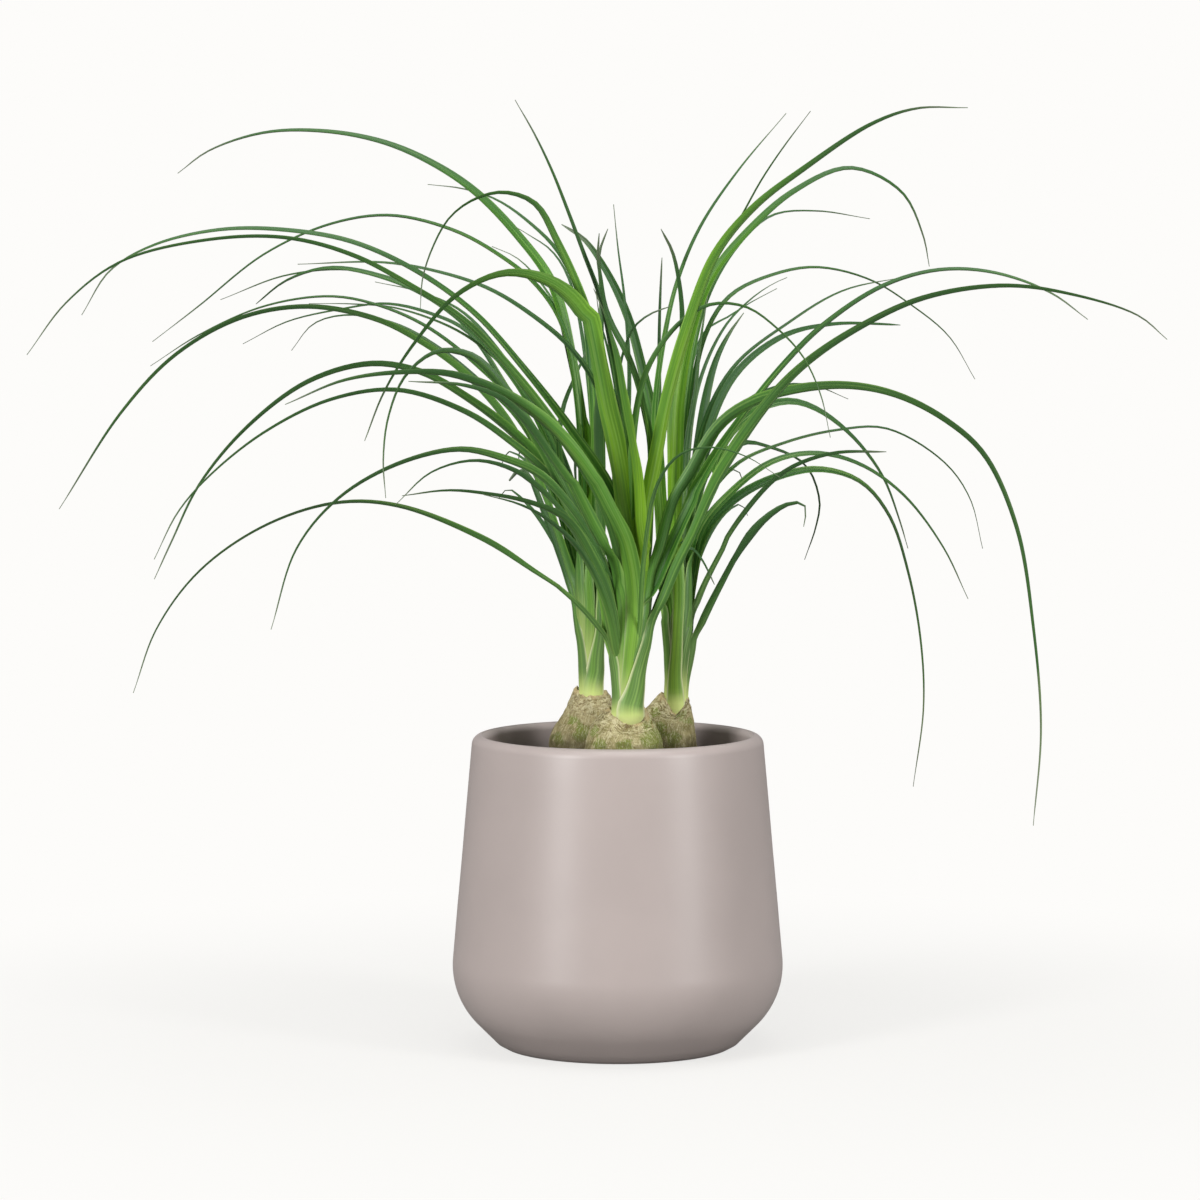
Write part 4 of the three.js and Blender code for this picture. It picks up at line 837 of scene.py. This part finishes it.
class PALM_OT_soil(bpy.types.Operator):
    """Builds the potting mix with crumbs on its surface"""
    bl_idname = "palm.soil"
    bl_label = "Soil"

    def execute(self, context):
        settings = context.scene.palm_soil
        relief = settings.relief / MM
        inner = MOUTH_RADIUS - CLEARANCE
        past, heights = zip(*INNER_WALL)
        rim = inner + float(np.interp(SOIL_AT_WALL, heights, past))
        wall = [(0, POT_FLOOR + CLEARANCE)]
        wall += [(inner + r, z + CLEARANCE * (z < CLEARED_HEIGHT)) for r, z in INNER_WALL if z < SOIL_AT_WALL]
        surface = [(r, SOIL_AT_WALL) for r in np.linspace(rim, 0, SOIL_RINGS)]
        points, faces = turned(wall + surface, SOIL_SIDES)
        for i, (x, y, z) in enumerate(points):
            if z > SOIL_AT_WALL - SLACK:
                points[i, 2] = soil_top(x, y, relief)
        points, rng = [tuple(p) for p in points], random.Random(CRUMB_SEED)
        for _ in range(CRUMBS):
            r, a = rim * math.sqrt(rng.random()) * CRUMB_REACH, rng.uniform(0, 2 * math.pi)
            x, y = r * math.cos(a), r * math.sin(a)
            sizes = FINE_CRUMB if rng.random() < FINE_SHARE else COARSE_CRUMB
            add_crumb(points, faces, (x, y, soil_top(x, y, relief)), rng.uniform(*sizes), rng)
        piece = mesh_piece("potting_mix", points, faces, peat_mix(settings), sharp=40)
        hand_over(piece, "soil")
        return {"FINISHED"}


# Bulbs

class BarkSettings(bpy.types.PropertyGroup):
    bark_colour: tint("Bark colour", "Colour of the dry cork plates", "#AC9D75")
    bark_dark: tint("Dark bark", "Colour of the older cork", "#85774F")
    crack_colour: tint("Crack colour", "Colour in the cracks", "#56401F")
    fleck_colour: tint("Fleck colour", "Colour of lifted cork", "#DAD2AE")
    moss_colour: tint("Living green", "Colour of living bark and moss", "#6B7B22")
    paper_colour: tint("Papery neck", "Colour of the dry scales at the neck", "#C4AE80")
    # The colour that the bark darkens to towards the bottom of each bulb, near the soil.
    darkening_colour: tint("Soil stain", "Colour of the damp bark at the soil", "#4A4226")
    relief: small_length("Relief", "Height of the bark's bumps", 0.35, 1.5)


def skewed(points, bulb):
    """Stands a turned bulb a little askew and lobes its flanks, as the real one grew."""
    k = growth(bulb["depth"])
    middle, neck = (EYE_ACROSS + (a - EYE_ACROSS) * k for a in bulb["axis"])
    x, y, z = points.T
    angle = np.arctan2(y, x)
    inside = (np.hypot(x, y) < bulb["neck"] * k + SLACK) & (z > NECK_FROM)
    rise = np.where(inside, 1.0, ease(z, *bulb["bend"]))
    # Three broad lobes, turned by the bulb's depth, and five shallower ones.
    waves = np.cos(3 * angle + bulb["depth"]) + 0.6 * np.cos(5 * angle - 1)
    lobe = 1 + bulb["lobes"] * ease(z, *LOBES_FADE) * waves
    tilted = z + bulb["tilt"] * y * ease(z, *TILT_GROWS)
    return np.stack([x * lobe + middle + (neck - middle) * rise, y * lobe + bulb["depth"], tilted], 1)


def bulb_points(bulb, relief):
    """A bulb's bark, its ragged rim and the seat of its stem, with what the bark material reads."""
    k = growth(bulb["depth"])
    outer = Curve([(r * k, EYE_HEIGHT + (z - EYE_HEIGHT) * k, 0) for r, z in bulb["outline"]])
    smooth = [(max(0.0, r), z) for r, z, _ in outer.point(np.linspace(0, 1, outer.spans * BARK_STEPS + 1))]
    rim = smooth[-1][1]
    inner = bulb["neck"] * k
    seat = rim - SEAT_BELOW_RIM
    profile = [(0, smooth[0][1] - UNDER_SINK)] + smooth
    profile += [(inner, rim - RIM_EDGE), (inner, seat), (0, seat)]
    straight, faces = turned(profile, BARK_SIDES)
    points = skewed(straight, bulb)
    bark, grain = np.zeros((2, len(points), 3))
    bearings, changes = zip(*bulb["rim"])
    # The bark darkens towards the bottom of each bulb, near the soil.
    darkening, darkening_run = bulb["darkening"]
    for i, (x, y, z) in enumerate(straight):
        r = math.hypot(x, y)
        bearing = math.atan2(x, -y)
        place = Vector((x, y, z + bulb["seed"]))
        coarse, middle, fine = bumps = [noise.noise(place / span) for span, _ in BARK_NOISE]
        below = (rim - z) / SCALE_RUN
        scale = math.sin(SCALE_RIPPLES * below + SCALE_WARP * coarse + SCALE_SLOPE * math.degrees(bearing))
        if r > PLAIN_RADIUS and z > PLAIN_HEIGHT:
            lift = sum(share * bump for bump, (_, share) in zip(bumps, BARK_NOISE))
            lift += SCALE_LIFT * scale * ease(below, *SCALE_FADES)
            points[i, :2] += relief * lift * np.array([x, y]) / r
        change = np.interp(math.degrees(bearing), bearings, changes) * ease(z, rim - RIM_RUN, rim)
        if r > inner + SLACK or (r > inner - SLACK and z > seat + SLACK):
            points[i, 2] += change
        if z > rim - RAGGED_RUN:
            turn = Vector((math.cos(bearing) * RAGGED_COUNT, math.sin(bearing) * RAGGED_COUNT, bulb["seed"]))
            points[i, 2] += RAGGED_LIFT * noise.noise(turn)
        seen = [eye + (v - eye) / growth(points[i, 1])
                for eye, v in ((EYE_ACROSS, points[i, 0]), (EYE_HEIGHT, points[i, 2]))]
        wander = GREEN_WANDER[0] * middle + GREEN_WANDER[1] * fine
        far = min((math.hypot(seen[0] - a, seen[1] - u) + wander) / size for a, u, size in bulb["green"])
        living = ease(far, *GREEN_FADES) if y < BACK_FROM else BACK_GREEN * ease(BACK_EDGE * coarse)
        bark[i] = ((points[i, 2] - darkening + DARKENING_WANDER * middle) / darkening_run,
                   1 - (rim + change - points[i, 2] + PAPER_WANDER * middle) / PAPER_RUN, living)
        grain[i] = (x / max(r, 1), y / max(r, 1), z + bulb["seed"])
    return points, faces, bark, grain


class PALM_OT_bulbs(bpy.types.Operator):
    """Builds the three swollen stem bases with their bark"""
    bl_idname = "palm.bulbs"
    bl_label = "Bulbs"

    def execute(self, context):
        settings = context.scene.palm_bulbs
        for side, bulb in BULBS.items():
            points, faces, bark, grain = bulb_points(bulb, settings.relief / MM)
            material = corky_bark(settings, "corky_bark_" + side, bulb["mossy"])
            piece = mesh_piece("stem_base_" + side, points, faces, material, sharp=75)
            vector_layer(piece.data, "bark", bark)
            vector_layer(piece.data, "grain", grain)
            hand_over(piece, "bulb_" + side)
        return {"FINISHED"}


# Leaves

class LeafSettings(bpy.types.PropertyGroup):
    deep_green: tint("Deep green", "Colour of the old leaves", "#3C6E30")
    mid_green: tint("Middle green", "Colour of the leaves between old and young", "#518C24")
    lime_green: tint("Lime green", "Colour of the youngest leaves", "#84B40C")
    under_green: tint("Underside", "Colour of the duller underside", "#678D4C")
    # Painted shade: the colour that the outer half of a blade is darkened towards.
    outer_shade_green: tint("Outer green", "Colour of the older, outer half of a leaf", "#2F532B")
    # Also the painted highlight down the middle of some blades and the painted glow along the thin edges.
    margin_and_highlight_colour: tint("Margin", "Colour of the thin, paler edges", "#96BC5C")
    foot_colour: tint("Foot", "Colour of a leaf's foot", "#D9E78C")
    cream_colour: tint("Cream edge", "Colour of the papery edges of the sheaths", "#D6D9AA")
    tip_colour: tint("Dry tip", "Colour of the dried tips", "#69725C")
    wander: FloatProperty(
        name="Twist", description="How far a blade's turn wanders along it", subtype="ANGLE", min=0,
        default=math.radians(9), max=math.radians(40))


def true_height(side, up):
    """The height of a place that is seen at the height up, at the depth of a stem."""
    return EYE_HEIGHT + (up - EYE_HEIGHT) * growth(BULBS[side]["depth"])


def crown_height(side):
    return true_height(side, STEMS[side][-1][2])


def stem_at(side, height):
    """Middle across and radius of a stem at true heights, its radius held on above its widest ring."""
    k = growth(BULBS[side]["depth"])
    rings = np.array(STEMS[side], float)[:-1]
    heights = true_height(side, rings[:, 2])
    across = np.interp(height, heights, EYE_ACROSS + (rings[:, 0] - EYE_ACROSS) * k)
    return across, np.interp(height, heights, rings[:, 1] * k)


class Blade:
    """A leaf: its middle line with its along and across directions, its widths and its shares."""

    def __init__(self, side, number, row, wander):
        self.fresh, greatest, tip_depth, foot_turn, tip_turn, points = row[:6]
        power = row[6] if len(row) > 6 else TAPER
        self.number, self.whole, self.pale_run = number, power != BLUNT, PALE_RUN
        depth = BULBS[side]["depth"]
        foot_depth = depth + LEAN * max(-1, min(1, (tip_depth - depth) / LEAN_RUN))
        seen = np.array(points, float).reshape(-1, 2)
        run = np.concatenate([[0], np.cumsum(np.linalg.norm(np.diff(seen, axis=0), axis=1))])
        self.length = run[-1]
        share = run / self.length
        depths = foot_depth + (tip_depth - foot_depth) * share ** DEPTH_BEND
        placed = np.array([slide(x, z, d) for (x, z), d in zip(seen, depths)])
        curve = Curve(placed)
        self.share = np.linspace(0, 1, max(FEWEST_STEPS, int(self.length / MM_A_STEP)))
        t = np.interp(self.share, share, np.linspace(0, 1, len(share)))
        self.line, along = curve.point(t), curve.along(t)
        # The channel's open side lies against the stem, in front of it for a leaf from the near side.
        plan = placed[-1] - placed[0]
        plan[2] = 0
        level = np.cross(unit(plan), (0, 0, 1))
        flat = unit(level - along * (along @ level)[:, None])
        sign = 1 if (plan[0] < 0) == (tip_depth < NEAR_SIDE[side]) else -1
        turn = sign * (foot_turn + (tip_turn - foot_turn) * ease(self.share, 0, TURN_RUN))
        sway = np.array([noise.noise(Vector((SWAYS * v, number * SWAY_APART, SWAY_PLACE)))
                         for v in self.share])
        turn = np.radians(turn + math.degrees(wander) * sway * ease(self.share, 0, SWAY_RUN))[:, None]
        self.wide = flat * np.cos(turn) + np.cross(along, flat) * np.sin(turn)
        self.rise = np.cross(self.wide, along)
        taper = np.maximum(0, 1 - self.share) ** power
        foot_width = NARROW_FOOT + (1 - NARROW_FOOT) * ease(self.share, 0, FOOT_WIDENS)
        self.width = np.maximum(BLADE_LEAST_WIDTH, greatest * foot_width * taper)
        # wrap is 1 where the blade clasps the stem at the radius curl, and 0 where it is free.
        self.wrap = np.zeros(len(self.share))
        self.curl = np.full(len(self.share), FREE_CURL)
        middle, radius = stem_at(side, self.line[:, 2])
        out = np.hypot(self.line[:, 0] - middle, self.line[:, 1] - depth) - radius
        past = (out > CLEAR_OF_STEM) | (self.line[:, 2] > crown_height(side) + CLEAR_OF_CROWN)
        self.first = int(np.argmax(past))
        self.free = self.line[self.first, 2]
        self.neck_width = max(HIDDEN_WIDTH, HIDDEN_SPREAD * greatest)
        self.bearing = math.degrees(math.atan2(-self.rise[0][0], self.rise[0][1]))

    def below(self, heights, last, values):
        """Values of the free blade at heights under the given sample."""
        return np.stack([np.interp(heights, self.line[:last + 1, 2], v) for v in values[:last + 1].T], 1)

    def extend(self, line, wide, width, wrap, curl, first):
        """Puts a foot in place of the blade's line under its sample first."""
        share = np.linspace(0, self.share[first], len(line), endpoint=False)
        self.line = np.vstack([line, self.line[first:]])
        along = unit(np.gradient(self.line, axis=0))
        wide = np.vstack([wide, self.wide[first:]])
        self.wide = unit(wide - along * np.sum(wide * along, 1)[:, None])
        self.rise = np.cross(self.wide, along)
        for name, foot in (("width", width), ("share", share), ("wrap", wrap), ("curl", curl)):
            setattr(self, name, np.concatenate([foot, getattr(self, name)[first:]]))

    def clasp_unseen(self, side, outer):
        """Carries the blade down round the stem to the neck, inside the feet that lie outside of it."""
        bearing = math.radians(self.bearing)
        out = np.array([math.sin(bearing), -math.cos(bearing), 0])
        tangent = -np.array([math.cos(bearing), math.sin(bearing), 0])
        bottom = true_height(side, BULBS[side]["seat"]) - FOOT_SINK
        steps = max(HIDDEN_FEWEST, int((self.free - bottom) / HIDDEN_STEP))
        heights = np.linspace(bottom, self.free, steps)[:-1]
        w = ease(heights, max(bottom + LEAST_CLASP, self.free - LEAD_OUT), self.free)
        foot = self.below(heights, self.first, self.line)
        foot[:, 2] = heights
        wide = self.below(heights, self.first, self.wide)
        across, radius = stem_at(side, heights)
        layers = sum(ease(heights, other.free, other.free - LAYER_RUN) for other in outer)
        radius = np.maximum(LEAST_RADIUS, radius - HIDDEN_LAYER - LAYER * layers)
        surface = np.stack([across, np.full(len(heights), float(BULBS[side]["depth"])), heights], 1)
        surface += out * radius[:, None]
        line = surface + (foot - surface) * w[:, None]
        grown = ease(heights, bottom, bottom + (self.free - bottom) / HIDDEN_GROWN)
        width = self.neck_width + (self.width[self.first] - self.neck_width) * grown
        self.extend(line, tangent + (wide - tangent) * w[:, None], width, 1 - w, radius, self.first)

    def clasp_seen(self, side, foot):
        """Lays the foot on the stem between its two edges in view, and leads it out to the free blade."""
        stand_off, self.pale_run, edges = foot
        edges = np.array(edges, float).reshape(-1, 3)
        bottom, top = edges[0, 0], edges[-1, 0]
        depth, k = BULBS[side]["depth"], growth(BULBS[side]["depth"])
        smooth = Curve(edges).point(np.linspace(0, 1, CURVE_STEPS * len(edges))).T
        first = int(np.argmax(self.line[:, 2] > true_height(side, top)))
        up = np.arange(bottom, top - 1, SEEN_STEP)
        left, right = (np.interp(up, smooth[0], smooth[i]) for i in (1, 2))
        heights = true_height(side, up)
        across, radius = stem_at(side, heights)
        radius = radius + stand_off - BLADE_THICK_AT_FOOT / 2 - TUCK * ease(up, bottom + TUCK_RUN, bottom)
        reach = [(EYE_ACROSS + (edge - EYE_ACROSS) * k - across) / radius for edge in (left, right)]
        left_turn, right_turn = (np.arcsin(np.clip(r, -LARGEST_SINE, LARGEST_SINE)) for r in reach)
        turn = (left_turn + right_turn) / 2
        # It leaves the stem where its middle comes to the side of it, or near the crown.
        leaves_crown = ease(heights, *(crown_height(side) + step for step in LEAVES_CROWN))
        w = np.maximum(ease(np.abs(reach[0] + reach[1]) / 2, *LEAVES_SIDE), leaves_crown)
        w = np.maximum.accumulate(w)
        wide = self.below(heights, first, self.wide)
        y = (depth - radius * np.cos(turn)) * (1 - w) + self.below(heights, first, self.line)[:, 1] * w
        line = np.stack([slide(x, z, d) for x, z, d in zip((left + right) / 2, up, y)])
        line[:, 0] += (across + radius * np.sin(turn) - line[:, 0]) * (1 - w)
        tangent = -np.stack([np.cos(turn), np.sin(turn), np.zeros(len(up))], 1)
        wide = unit(tangent + (wide - tangent) * w[:, None])
        # Where it is free, it is as wide as makes its edges seem as far apart as they are seen to be.
        lead = unit(np.gradient(line, axis=0))
        square = np.stack([lead[:, 2], np.zeros(len(up)), -lead[:, 0]], 1)
        shown = np.maximum(LEAST_SHOWN, np.abs(np.sum(unit(square) * wide, 1)))
        free_width = (right - left) * lead[:, 2] / shown
        width = radius * (right_turn - left_turn) * (1 - w) + free_width * w
        start = self.share[first]
        self.width = self.width * (
            1 + (width[-1] / self.width[first] - 1) * ease(self.share, start + FOOT_FADE, start))
        self.extend(line, wide, width, 1 - w, radius, first)


def blade_sections(leaf):
    """Offsets across and up of a blade's closed sections, their upper faces and then their under faces, with
    how far out each point lies, from -1 to 1."""
    u = np.linspace(-1, 1, POINTS_ACROSS)
    share, width, wrap, curl = (v[:, None] for v in (leaf.share, leaf.width, leaf.wrap, leaf.curl))
    turn = np.clip(width / 2 * u / curl, -MOST_CURL, MOST_CURL)
    hollow = CHANNEL_DEPTH * width * np.abs(u) ** CHANNEL_POWER
    across = wrap * curl * np.sin(turn) + (1 - wrap) * width / 2 * u
    up = wrap * curl * (1 - np.cos(turn)) + (1 - wrap) * hollow
    thick = BLADE_THICK_AT_FOOT + (BLADE_THICK_AT_TIP - BLADE_THICK_AT_FOOT) * share
    thick = np.minimum(thick, width * THICKEST_SHARE)
    half = thick / 2 * np.sqrt(np.maximum(0.0, 1 - np.abs(u) ** EDGE_POWER))
    back = slice(-2, 0, -1)
    return (np.hstack([across, across[:, back]]), np.hstack([up + half, (up - half)[:, back]]),
            np.concatenate([u, u[back]]))


class Tuft:
    """Gathers the blades of one stem in one mesh, with what the leaf material reads at each point: strip is
    the place across and along and the leaf's number, tone its freshness, its painted shade over the outer
    half followed by its dry tip, and 1 on its underside, and edge how far out the point lies, the pale of the
    foot and the cream of the sheath."""

    def __init__(self):
        self.count, self.points, self.faces = 0, [], []
        self.layers = {"strip": [], "tone": [], "edge": []}

    def add(self, points, **layers):
        """Adds a closed tube of rings, with three values for each layer."""
        rings, sides = points.shape[:2]
        start, last = self.count, self.count + (rings - 1) * sides
        self.count += rings * sides
        self.points.append(points.reshape(-1, 3))
        for name, values in layers.items():
            values = [np.broadcast_to(v, (rings, sides)) for v in values]
            self.layers[name].append(np.stack(values, -1).reshape(-1, 3))
        self.faces += rings_to_faces(rings, sides, start)
        self.faces += [tuple(reversed(range(start, start + sides))), tuple(range(last, last + sides))]

    def blade(self, leaf, neck):
        across, up, u = blade_sections(leaf)
        points = leaf.line[:, None] + across[..., None] * leaf.wide[:, None]
        points += up[..., None] * leaf.rise[:, None]
        share, width, wrap = (v[:, None] for v in (leaf.share, leaf.width, leaf.wrap))
        height = leaf.line[:, 2:]
        above = height - neck
        shade_from = SHADE_FROM + SHADE_LATER_IF_FRESH * leaf.fresh
        young = leaf.fresh * (1 - YOUNG_LOST * ease(share, *YOUNG_FADES))
        # Painted shade over the outer half of the blade, and past 1 the dry tip.
        shade_and_dry_tip = ease(share, shade_from, shade_from + SHADE_RUN) + ease(share, *TIP_DRIES) * leaf.whole
        pale = (1 - LONG_PALE) * ease(above, leaf.pale_run, 0) + LONG_PALE * ease(above, LONG_PALE_RUN, 0)
        pale = np.minimum(1, pale * ease(share, *PALE_ENDS))
        hem = HEM_CREAM * ease(height, height[0] + HEM, height[0])
        cream = wrap * ease(above, *CREAM_FADES) * ease(np.abs(u), *CREAM_EDGE)
        self.add(points, strip=(u * width / 2, share * leaf.length, leaf.number),
                 tone=(young, shade_and_dry_tip, np.arange(len(u)) >= POINTS_ACROSS),
                 edge=(np.abs(u), pale, np.maximum(hem, cream)))

    def core(self, side, neck):
        """The middle of the column, inside all the clasping feet."""
        heights = np.linspace(neck - 1, crown_height(side) - CORE_BELOW_CROWN, CORE_RINGS)
        across, radius = (v[:, None] for v in stem_at(side, heights))
        heights = heights[:, None]
        up = (heights - heights[0]) / (heights[-1] - heights[0])
        radius = radius * (CORE_WIDTH - CORE_TAPER * up ** 2)
        turns = np.arange(CORE_SIDES) * 2 * math.pi / CORE_SIDES
        ring = (across + radius * np.cos(turns), BULBS[side]["depth"] + radius * np.sin(turns), heights)
        self.add(np.stack(np.broadcast_arrays(*ring), -1), strip=(turns * radius, heights, CORE_NUMBER),
                 tone=(CORE_FRESH, 0, 0), edge=(CORE_MARGIN, CORE_PALE - CORE_GREENS * up, 0))

    def piece(self, name, material):
        made = mesh_piece(name, np.vstack(self.points), self.faces, material, sharp=62)
        for layer, values in self.layers.items():
            vector_layer(made.data, layer, np.vstack(values))
        return made


def build_tuft(side, wander):
    """A stem's core and all its blades, each with its foot."""
    tuft = Tuft()
    neck = true_height(side, BULBS[side]["seat"])
    tuft.core(side, neck)
    leaves = [Blade(side, i, row, wander) for i, row in enumerate(LEAVES[side])]
    hidden = sorted((leaf for leaf in leaves if leaf.number not in FEET[side]), key=lambda leaf: leaf.free)
    for i, leaf in enumerate(hidden):
        outer = [other for other in hidden[:i]
                 if abs((other.bearing - leaf.bearing + 180) % 360 - 180) < NEIGHBOUR_BEARING]
        leaf.clasp_unseen(side, outer)
    for number, foot in FEET[side].items():
        leaves[number].clasp_seen(side, foot)
    for leaf in leaves:
        tuft.blade(leaf, neck)
    return tuft


class PALM_OT_leaves(bpy.types.Operator):
    """Builds the three tufts of arching leaves with their stems"""
    bl_idname = "palm.leaves"
    bl_label = "Leaves"

    def execute(self, context):
        settings = context.scene.palm_leaves
        material = leaf_blade(settings)
        for side in LEAVES:
            piece = build_tuft(side, settings.wander).piece("leaf_tuft_" + side, material)
            hand_over(piece, "leaves_" + side)
        return {"FINISHED"}


# Stage. A light is its place, what it is aimed at, its width and height, all in metres, and its watts.
LIGHTS = {
    "softbox_left": ((-1.5, -1.7, 1.0), (0, 0, 0.16), (0.5, 1.6), 44),
    "softbox_right": ((1.75, -1.4, 0.9), (0, 0, 0.16), (0.45, 1.5), 31),
    "softbox_above": ((0, -0.3, 2.0), (0, 0, 0.2), (1.6, 1.6), 23),
}
PAPER_RINGS, PAPER_SIDES = (9000, 3000, 1300, 600, 300, 0), 96
PAPER_BELOW = 0.02
LENS = 138.1
SENSOR_WIDTH = 36
AIM_HEIGHT = 204.5


class StageSettings(bpy.types.PropertyGroup):
    paper_colour: tint("Paper colour", "Colour of the background paper", "#FDFCFA")
    paper_glow: FloatProperty(
        name="Paper glow", description="How much of the paper's white is its own light", default=0.75,
        min=0, max=2)
    sky: FloatProperty(
        name="Sky", description="Strength of the light from all round", default=0.28, min=0, max=3)
    eye_distance: FloatProperty(
        name="Camera distance", description="Distance of the camera from the pot's axis",
        default=EYE_DISTANCE * MM, min=0.3, max=10, unit="LENGTH")


def put(name, data, place, aim):
    """Puts a light or camera in its place and points it at its aim, both in metres."""
    made = bpy.data.objects.new(name, data)
    made.location = place
    made.rotation_euler = (Vector(aim) - Vector(place)).to_track_quat("-Z", "Y").to_euler()
    bpy.context.scene.collection.objects.link(made)
    return made


class PALM_OT_stage(bpy.types.Operator):
    """Lays the pale paper, sets the soft lights and the camera"""
    bl_idname = "palm.stage"
    bl_label = "Stage"

    def execute(self, context):
        scene = context.scene
        settings = scene.palm_stage
        points, faces = turned([(r, -PAPER_BELOW) for r in PAPER_RINGS], PAPER_SIDES)
        paper = mesh_piece("background_paper", points, faces, backdrop_paper(settings))
        world = bpy.data.worlds.new("studio")
        world.use_nodes = True
        tree = world.node_tree
        tree.nodes.clear()
        seen = add_node(tree, "ShaderNodeLightPath").outputs["Is Camera Ray"]
        shown = add_node(tree, "ShaderNodeBackground", (settings.paper_colour, 1.0))
        lit = add_node(tree, "ShaderNodeBackground", (linear("#FFFFFF"), settings.sky))
        mixed = add_node(tree, "ShaderNodeMixShader", (seen, lit.outputs[0], shown.outputs[0]))
        add_node(tree, "ShaderNodeOutputWorld", (mixed.outputs[0], ))
        scene.world = world
        for name, (place, aim, size, watts) in LIGHTS.items():
            light = bpy.data.lights.new(name, "AREA")
            light.shape = "RECTANGLE"
            light.size, light.size_y = size
            light.energy = watts
            put(name, light, place, aim)
        data = bpy.data.cameras.new("camera")
        data.lens, data.sensor_width = LENS, SENSOR_WIDTH
        scene.camera = put("camera", data, (EYE_ACROSS * MM, -settings.eye_distance, EYE_HEIGHT * MM),
                           (EYE_ACROSS * MM, 0, AIM_HEIGHT * MM))
        scene.view_settings.view_transform = "Standard"
        scene.view_settings.look = "None"
        return {"FINISHED"}


GROUPS = {
    "stage": StageSettings,
    "pot": PotSettings,
    "soil": SoilSettings,
    "bulbs": BarkSettings,
    "leaves": LeafSettings,
}


class PALM_PT_build(bpy.types.Panel):
    """Lists the steps that build the palm, each with its settings"""
    bl_idname = "PALM_PT_build"
    bl_label = "Potted Ponytail Palm"
    bl_space_type = "VIEW_3D"
    bl_region_type = "UI"
    bl_category = "Palm"

    def draw(self, context):
        for step, group in GROUPS.items():
            box = self.layout.box()
            for name in group.__annotations__:
                box.prop(getattr(context.scene, "palm_" + step), name)
            box.operator("palm." + step)


CLASSES = (*GROUPS.values(), PALM_OT_stage, PALM_OT_pot, PALM_OT_soil, PALM_OT_bulbs, PALM_OT_leaves,
           PALM_PT_build)


def register():
    for made in CLASSES:
        bpy.utils.register_class(made)
    for step, group in GROUPS.items():
        setattr(bpy.types.Scene, "palm_" + step, PointerProperty(type=group))


def unregister():
    for step in GROUPS:
        delattr(bpy.types.Scene, "palm_" + step)
    for made in reversed(CLASSES):
        bpy.utils.unregister_class(made)


def main():
    register()
    bpy.ops.palm.stage()
    bpy.ops.palm.pot()
    bpy.ops.palm.soil()
    bpy.ops.palm.bulbs()
    bpy.ops.palm.leaves()


if __name__ == "__main__":
    main()
